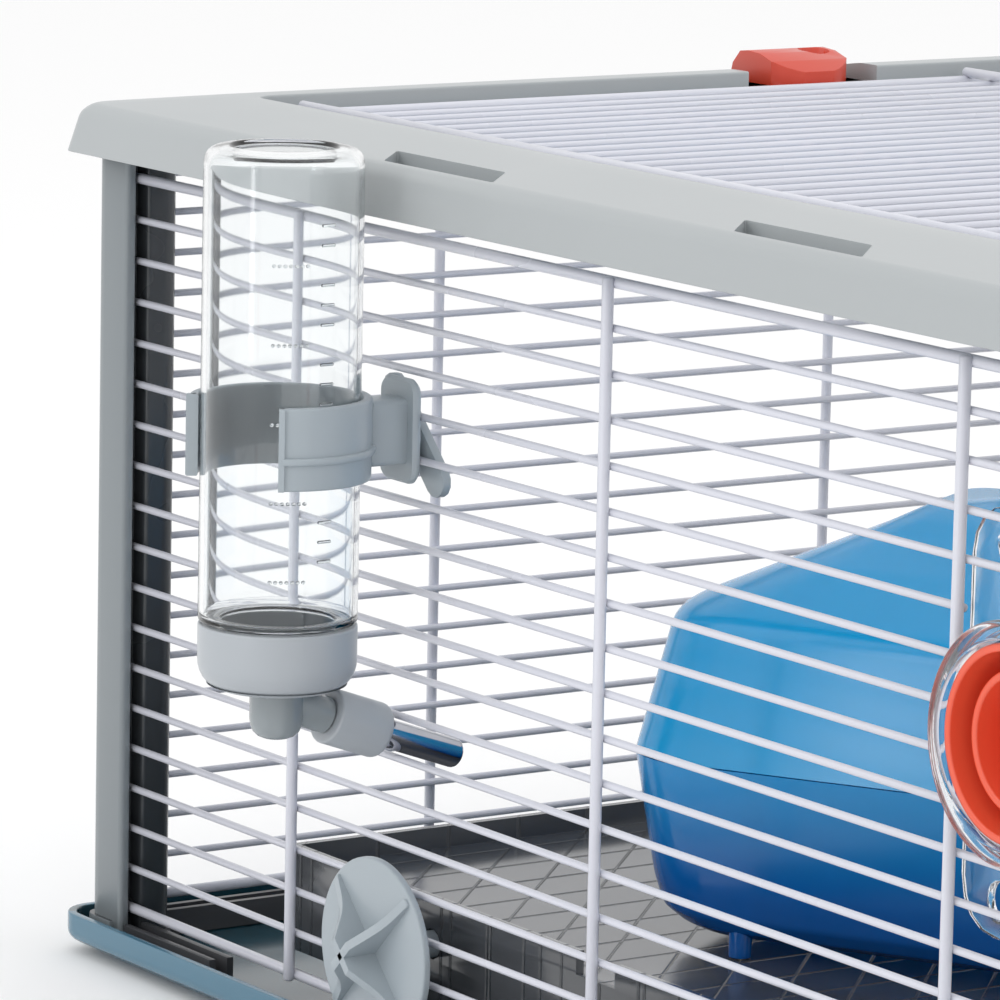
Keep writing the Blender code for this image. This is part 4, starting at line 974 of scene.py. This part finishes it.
def make_cap():
    low, base, radius = cap_low[2], cap_high[2], (cap_high[0] - cap_low[0]) / 2
    elbow_low, elbow_high = span("spout_elbow")
    hole = (elbow_high[0] - elbow_low[0]) / 2 + 0.3
    throat = NECK_RADIUS + 0.3
    profile = [(hole, low), (radius * 0.70, low), (radius, low + 2.5), (radius, base)]
    profile += [(throat, base), (throat, low + 6.4), (hole, low + 4)]
    profile = eased(profile, [0.4, 4.0, 5.5, 0.6, 0.3, 0.8, 0.4], 6)
    shell = lathe(profile, (bottle_x, bottle_y, 0), sides=96)
    make_piece("bottle_cap_piece", [shell], cap_grey, "cage", ["bottle_cap"])


make_cap()

# --- Spout -----------------------------------------------------------------------------------------------
# A translucent grey elbow comes out of the cap. A light grey sleeve joins it to a steel tube, which leans
# down into the cage between two wires and holds a steel ball behind its lip.

SPOUT_TILT = math.radians(19.5)
SPOUT_RADIUS = 3.85
SPOUT_WALL = 0.7
SPOUT_ROW = 6
elbow_grey = plastic("elbow_grey", (0.34, 0.38, 0.40), 0.2, clear=0.25, coat=0.3)
spout_steel = plastic("spout_steel", (0.50, 0.51, 0.55), 0.12, mottle=0.02, grain=0.0)
spout_steel.node_tree.nodes["Principled BSDF"].inputs["Metallic"].default_value = 1.0
spout_turn = Matrix.Rotation(-SPOUT_TILT, 3, "X")
rows = np.linspace(front_low[2] + STAY, front_high[2] - STAY, ROWS)
crossing = (rows[SPOUT_ROW] + rows[SPOUT_ROW + 1]) / 2
spout_start = np.array([bottle_x, bottle_y, crossing + (front_plane - bottle_y) * math.tan(SPOUT_TILT)])


def make_spout():
    low, high = span("spout_elbow")
    knuckle = (high[0] - low[0]) / 2
    shell = SPOUT_RADIUS + 1.0
    sleeve_low, sleeve_high = span("spout_sleeve")
    sleeve_radius = (sleeve_high[0] - sleeve_low[0]) / 2
    lean = sleeve_radius * math.sin(SPOUT_TILT)
    sleeve_start = (sleeve_low[1] - spout_start[1] + lean) / math.cos(SPOUT_TILT)
    sleeve_end = (sleeve_high[1] - spout_start[1] - lean) / math.cos(SPOUT_TILT)
    tube_high = span("spout_tube")[1]
    tip = (tube_high[1] - spout_start[1]) / math.cos(SPOUT_TILT) - 1.0
    bore = SPOUT_RADIUS - SPOUT_WALL
    pipe_end = sleeve_start - 0.4
    pipe = [(0, 0), (shell, 0), (shell, pipe_end), (bore, pipe_end), (bore, pipe_end - 4), (0, pipe_end - 4)]
    pipe = eased(pipe, [0, 1.5, 0.5, 0.3, 0, 0], 4, False)
    post = [(0, low[2]), (knuckle, low[2]), (knuckle, high[2]), (bore, high[2])]
    post += [(bore, high[2] - 6), (0, high[2] - 6)]
    post = eased(post, [0, 5.5, 0.4, 0.3, 0, 0], 5, False)
    parts = [lathe(pipe, spout_start, "Y", 48, spout_turn), lathe(post, (bottle_x, bottle_y, 0), sides=48)]
    make_piece("spout_elbow_piece", parts, elbow_grey, "cage", ["spout_elbow"])
    sleeve = [(SPOUT_RADIUS + 0.15, sleeve_start), (sleeve_radius, sleeve_start), (sleeve_radius, sleeve_end)]
    sleeve.append((SPOUT_RADIUS + 0.15, sleeve_end))
    sleeve = lathe(eased(sleeve, [0.2, 0.8, 1.8, 0.2], 5), spout_start, "Y", 64, spout_turn)
    make_piece("spout_sleeve_piece", [sleeve], cap_grey, "cage", ["spout_sleeve"])
    lip = bore - 0.7
    tube = [(bore, sleeve_start), (SPOUT_RADIUS, sleeve_start), (SPOUT_RADIUS, tip), (lip, tip)]
    tube += [(lip, tip - 0.8), (bore, tip - 1.6)]
    tube = lathe(eased(tube, [0.1, 0.2, 1.5, 0.3, 0.3, 0.3], 5), spout_start, "Y", 64, spout_turn)
    make_piece("spout_tube_piece", [tube], spout_steel, "cage", ["spout_tube"])
    ball_low, ball_high = span("spout_ball")
    middle, radius = (ball_low + ball_high) / 2, (ball_high[0] - ball_low[0]) / 2
    angle = np.linspace(-np.pi / 2, np.pi / 2, 25)
    half = np.column_stack([np.maximum(radius * np.cos(angle), 0), radius * np.sin(angle)])
    half[[0, -1], 0] = 0
    ball = lathe(half, middle, sides=40)
    make_piece("spout_ball_piece", [ball], spout_steel, "ball", ["spout_ball"])


make_spout()

# --- Bottle clamp ----------------------------------------------------------------------------------------
# A springy open ring in blue-grey plastic, on a plate outside the wires. A rib and end lips stiffen the ring.
# A bar inside the wires, on a stub between two of them, turns to lock it.

CLAMP_WALL = 2.2
CLAMP_HEIGHT = 21.0
CLAMP_PLATE = 2.4
CLAMP_PLATE_WIDTH = 16.0
CLAMP_SIDESTEP = 4.0


def band(start, end, inner, outer, low, high, ease, steps=60):
    """A soft-edged band of an open ring round the bottle, from one angle to another."""
    edge = [(inner, low), (outer, low), (outer, high), (inner, high)]
    section = eased(edge, ease, 4)
    angle = np.radians(np.linspace(start, end, steps))[:, None]
    ring = np.stack([bottle_x + section[:, 0] * np.cos(angle), bottle_y + section[:, 0] * np.sin(angle),
                     np.broadcast_to(section[:, 1], (steps, len(section)))], -1)
    return skin(ring)


def make_clamp():
    low, high = span("clamp_ring")
    base, top = (low[2] + high[2] - CLAMP_HEIGHT) / 2, (low[2] + high[2] + CLAMP_HEIGHT) / 2
    inner = bottle_radius + 0.45
    outer = bottle_x - low[0]
    parts = [band(-32, 238, inner, outer, base, top, 0.7, 120)]
    rib = base + 0.36 * CLAMP_HEIGHT
    parts.append(band(-31, 60, outer - 0.6, outer + 1.0, rib - 1.0, rib + 1.0, [0.2, 0.8, 0.8, 0.2], 60))
    for edge in (-31.0, 237.0):
        parts.append(band(edge - 1.8, edge + 1.8, inner, outer + 0.8, base, top, 0.6, 6))
    face = front_plane - WIRE - 0.3
    plate_x = bottle_x + CLAMP_SIDESTEP
    middle_z = (low[2] + high[2]) / 2
    shape = oblong(CLAMP_PLATE_WIDTH / 2, (high[2] - low[2]) / 2, 3.5, 8) + [plate_x, middle_z]
    parts.append(slab(shape, "Y", face, face - CLAMP_PLATE, 0.8))
    arm = oblong(5, CLAMP_HEIGHT / 2 - 2, 1.5, 5) + [plate_x, middle_z]
    parts.append(slab(arm, "Y", face - 1, bottle_y + inner + 0.5 * CLAMP_WALL, 0.4))
    make_piece("clamp_ring_piece", parts, knob_grey, "cage", ["clamp_ring"])
    softened("clamp_lock", knob_grey, "lock", 0.8, segments=3)


make_clamp()

# --- Tube port -------------------------------------------------------------------------------------------
# A thick clear collar outside the wires on a clear plate inside them, which has a slot above and below. A
# red-orange plug closes it: a cup with a ring and a bar across it to pull.

PORT_WALL = 2.0
PORT_FLANGE = 28.0
PORT_TUBE = 25.5
PLUG_WALL = 2.0
PLUG_GROOVE = 6.0
GRIP_BACK = 3.0
port_clear = plastic("port_clear", (0.95, 0.965, 0.98), 0.04, mottle=0.0, grain=0.0, clear=1.0, ior=1.45)
port_red = plastic("port_red", (0.80, 0.10, 0.045), 0.3, mottle=0.06, coat=0.3)


def make_port():
    low, high = span("port_collar")
    x, z = (low[0] + high[0]) / 2, (low[2] + high[2]) / 2
    bore = PORT_TUBE - PORT_WALL
    front, back = low[1], high[1]
    outside = front_plane - WIRE - 2 * STAY - 0.3
    profile = [(bore, front), (PORT_FLANGE, front), (PORT_FLANGE, front + 4.2)]
    profile += [(PORT_FLANGE - 2, front + 5.4), (PORT_FLANGE - 1.2, outside)]
    profile += [(PORT_TUBE, outside), (PORT_TUBE, back), (bore, back)]
    collar = lathe(eased(profile, [0.7, 1.2, 0.9, 1.0, 0.5, 0.3, 0.3, 0.5], 5), (x, 0, z), "Y", 96)
    make_piece("port_collar_piece", [collar], port_clear, "cage", ["port_collar"])
    softened("port_plate", port_clear, "cage", 0.5, segments=3)
    plug_low, plug_high = span("port_plug")
    front, back = plug_low[1], plug_high[1]
    radius = (plug_high[0] - plug_low[0]) / 2
    core, floor = radius - PLUG_GROOVE, back - PLUG_WALL
    grip_front, rim = front + GRIP_BACK, radius - PLUG_WALL
    cup = [(0, back), (radius, back), (radius, front), (rim, front), (rim, floor), (core, floor)]
    cup += [(core, grip_front), (core - PLUG_WALL, grip_front), (core - PLUG_WALL, floor), (0, floor)]
    cup = eased(cup, [0, 0.8, 0.7, 0.7, 0.8, 0.8, 0.7, 0.7, 0.8, 0], 4, False)
    half = core - PLUG_WALL / 2
    grip = oblong(1.0, half, 0.6, 4) + [x, z]
    parts = [lathe(cup, (x, 0, z), "Y", 72), slab(grip, "Y", grip_front, floor + 1, 0.3)]
    make_piece("port_plug_piece", parts, port_red, "plug", ["port_plug"])


make_port()
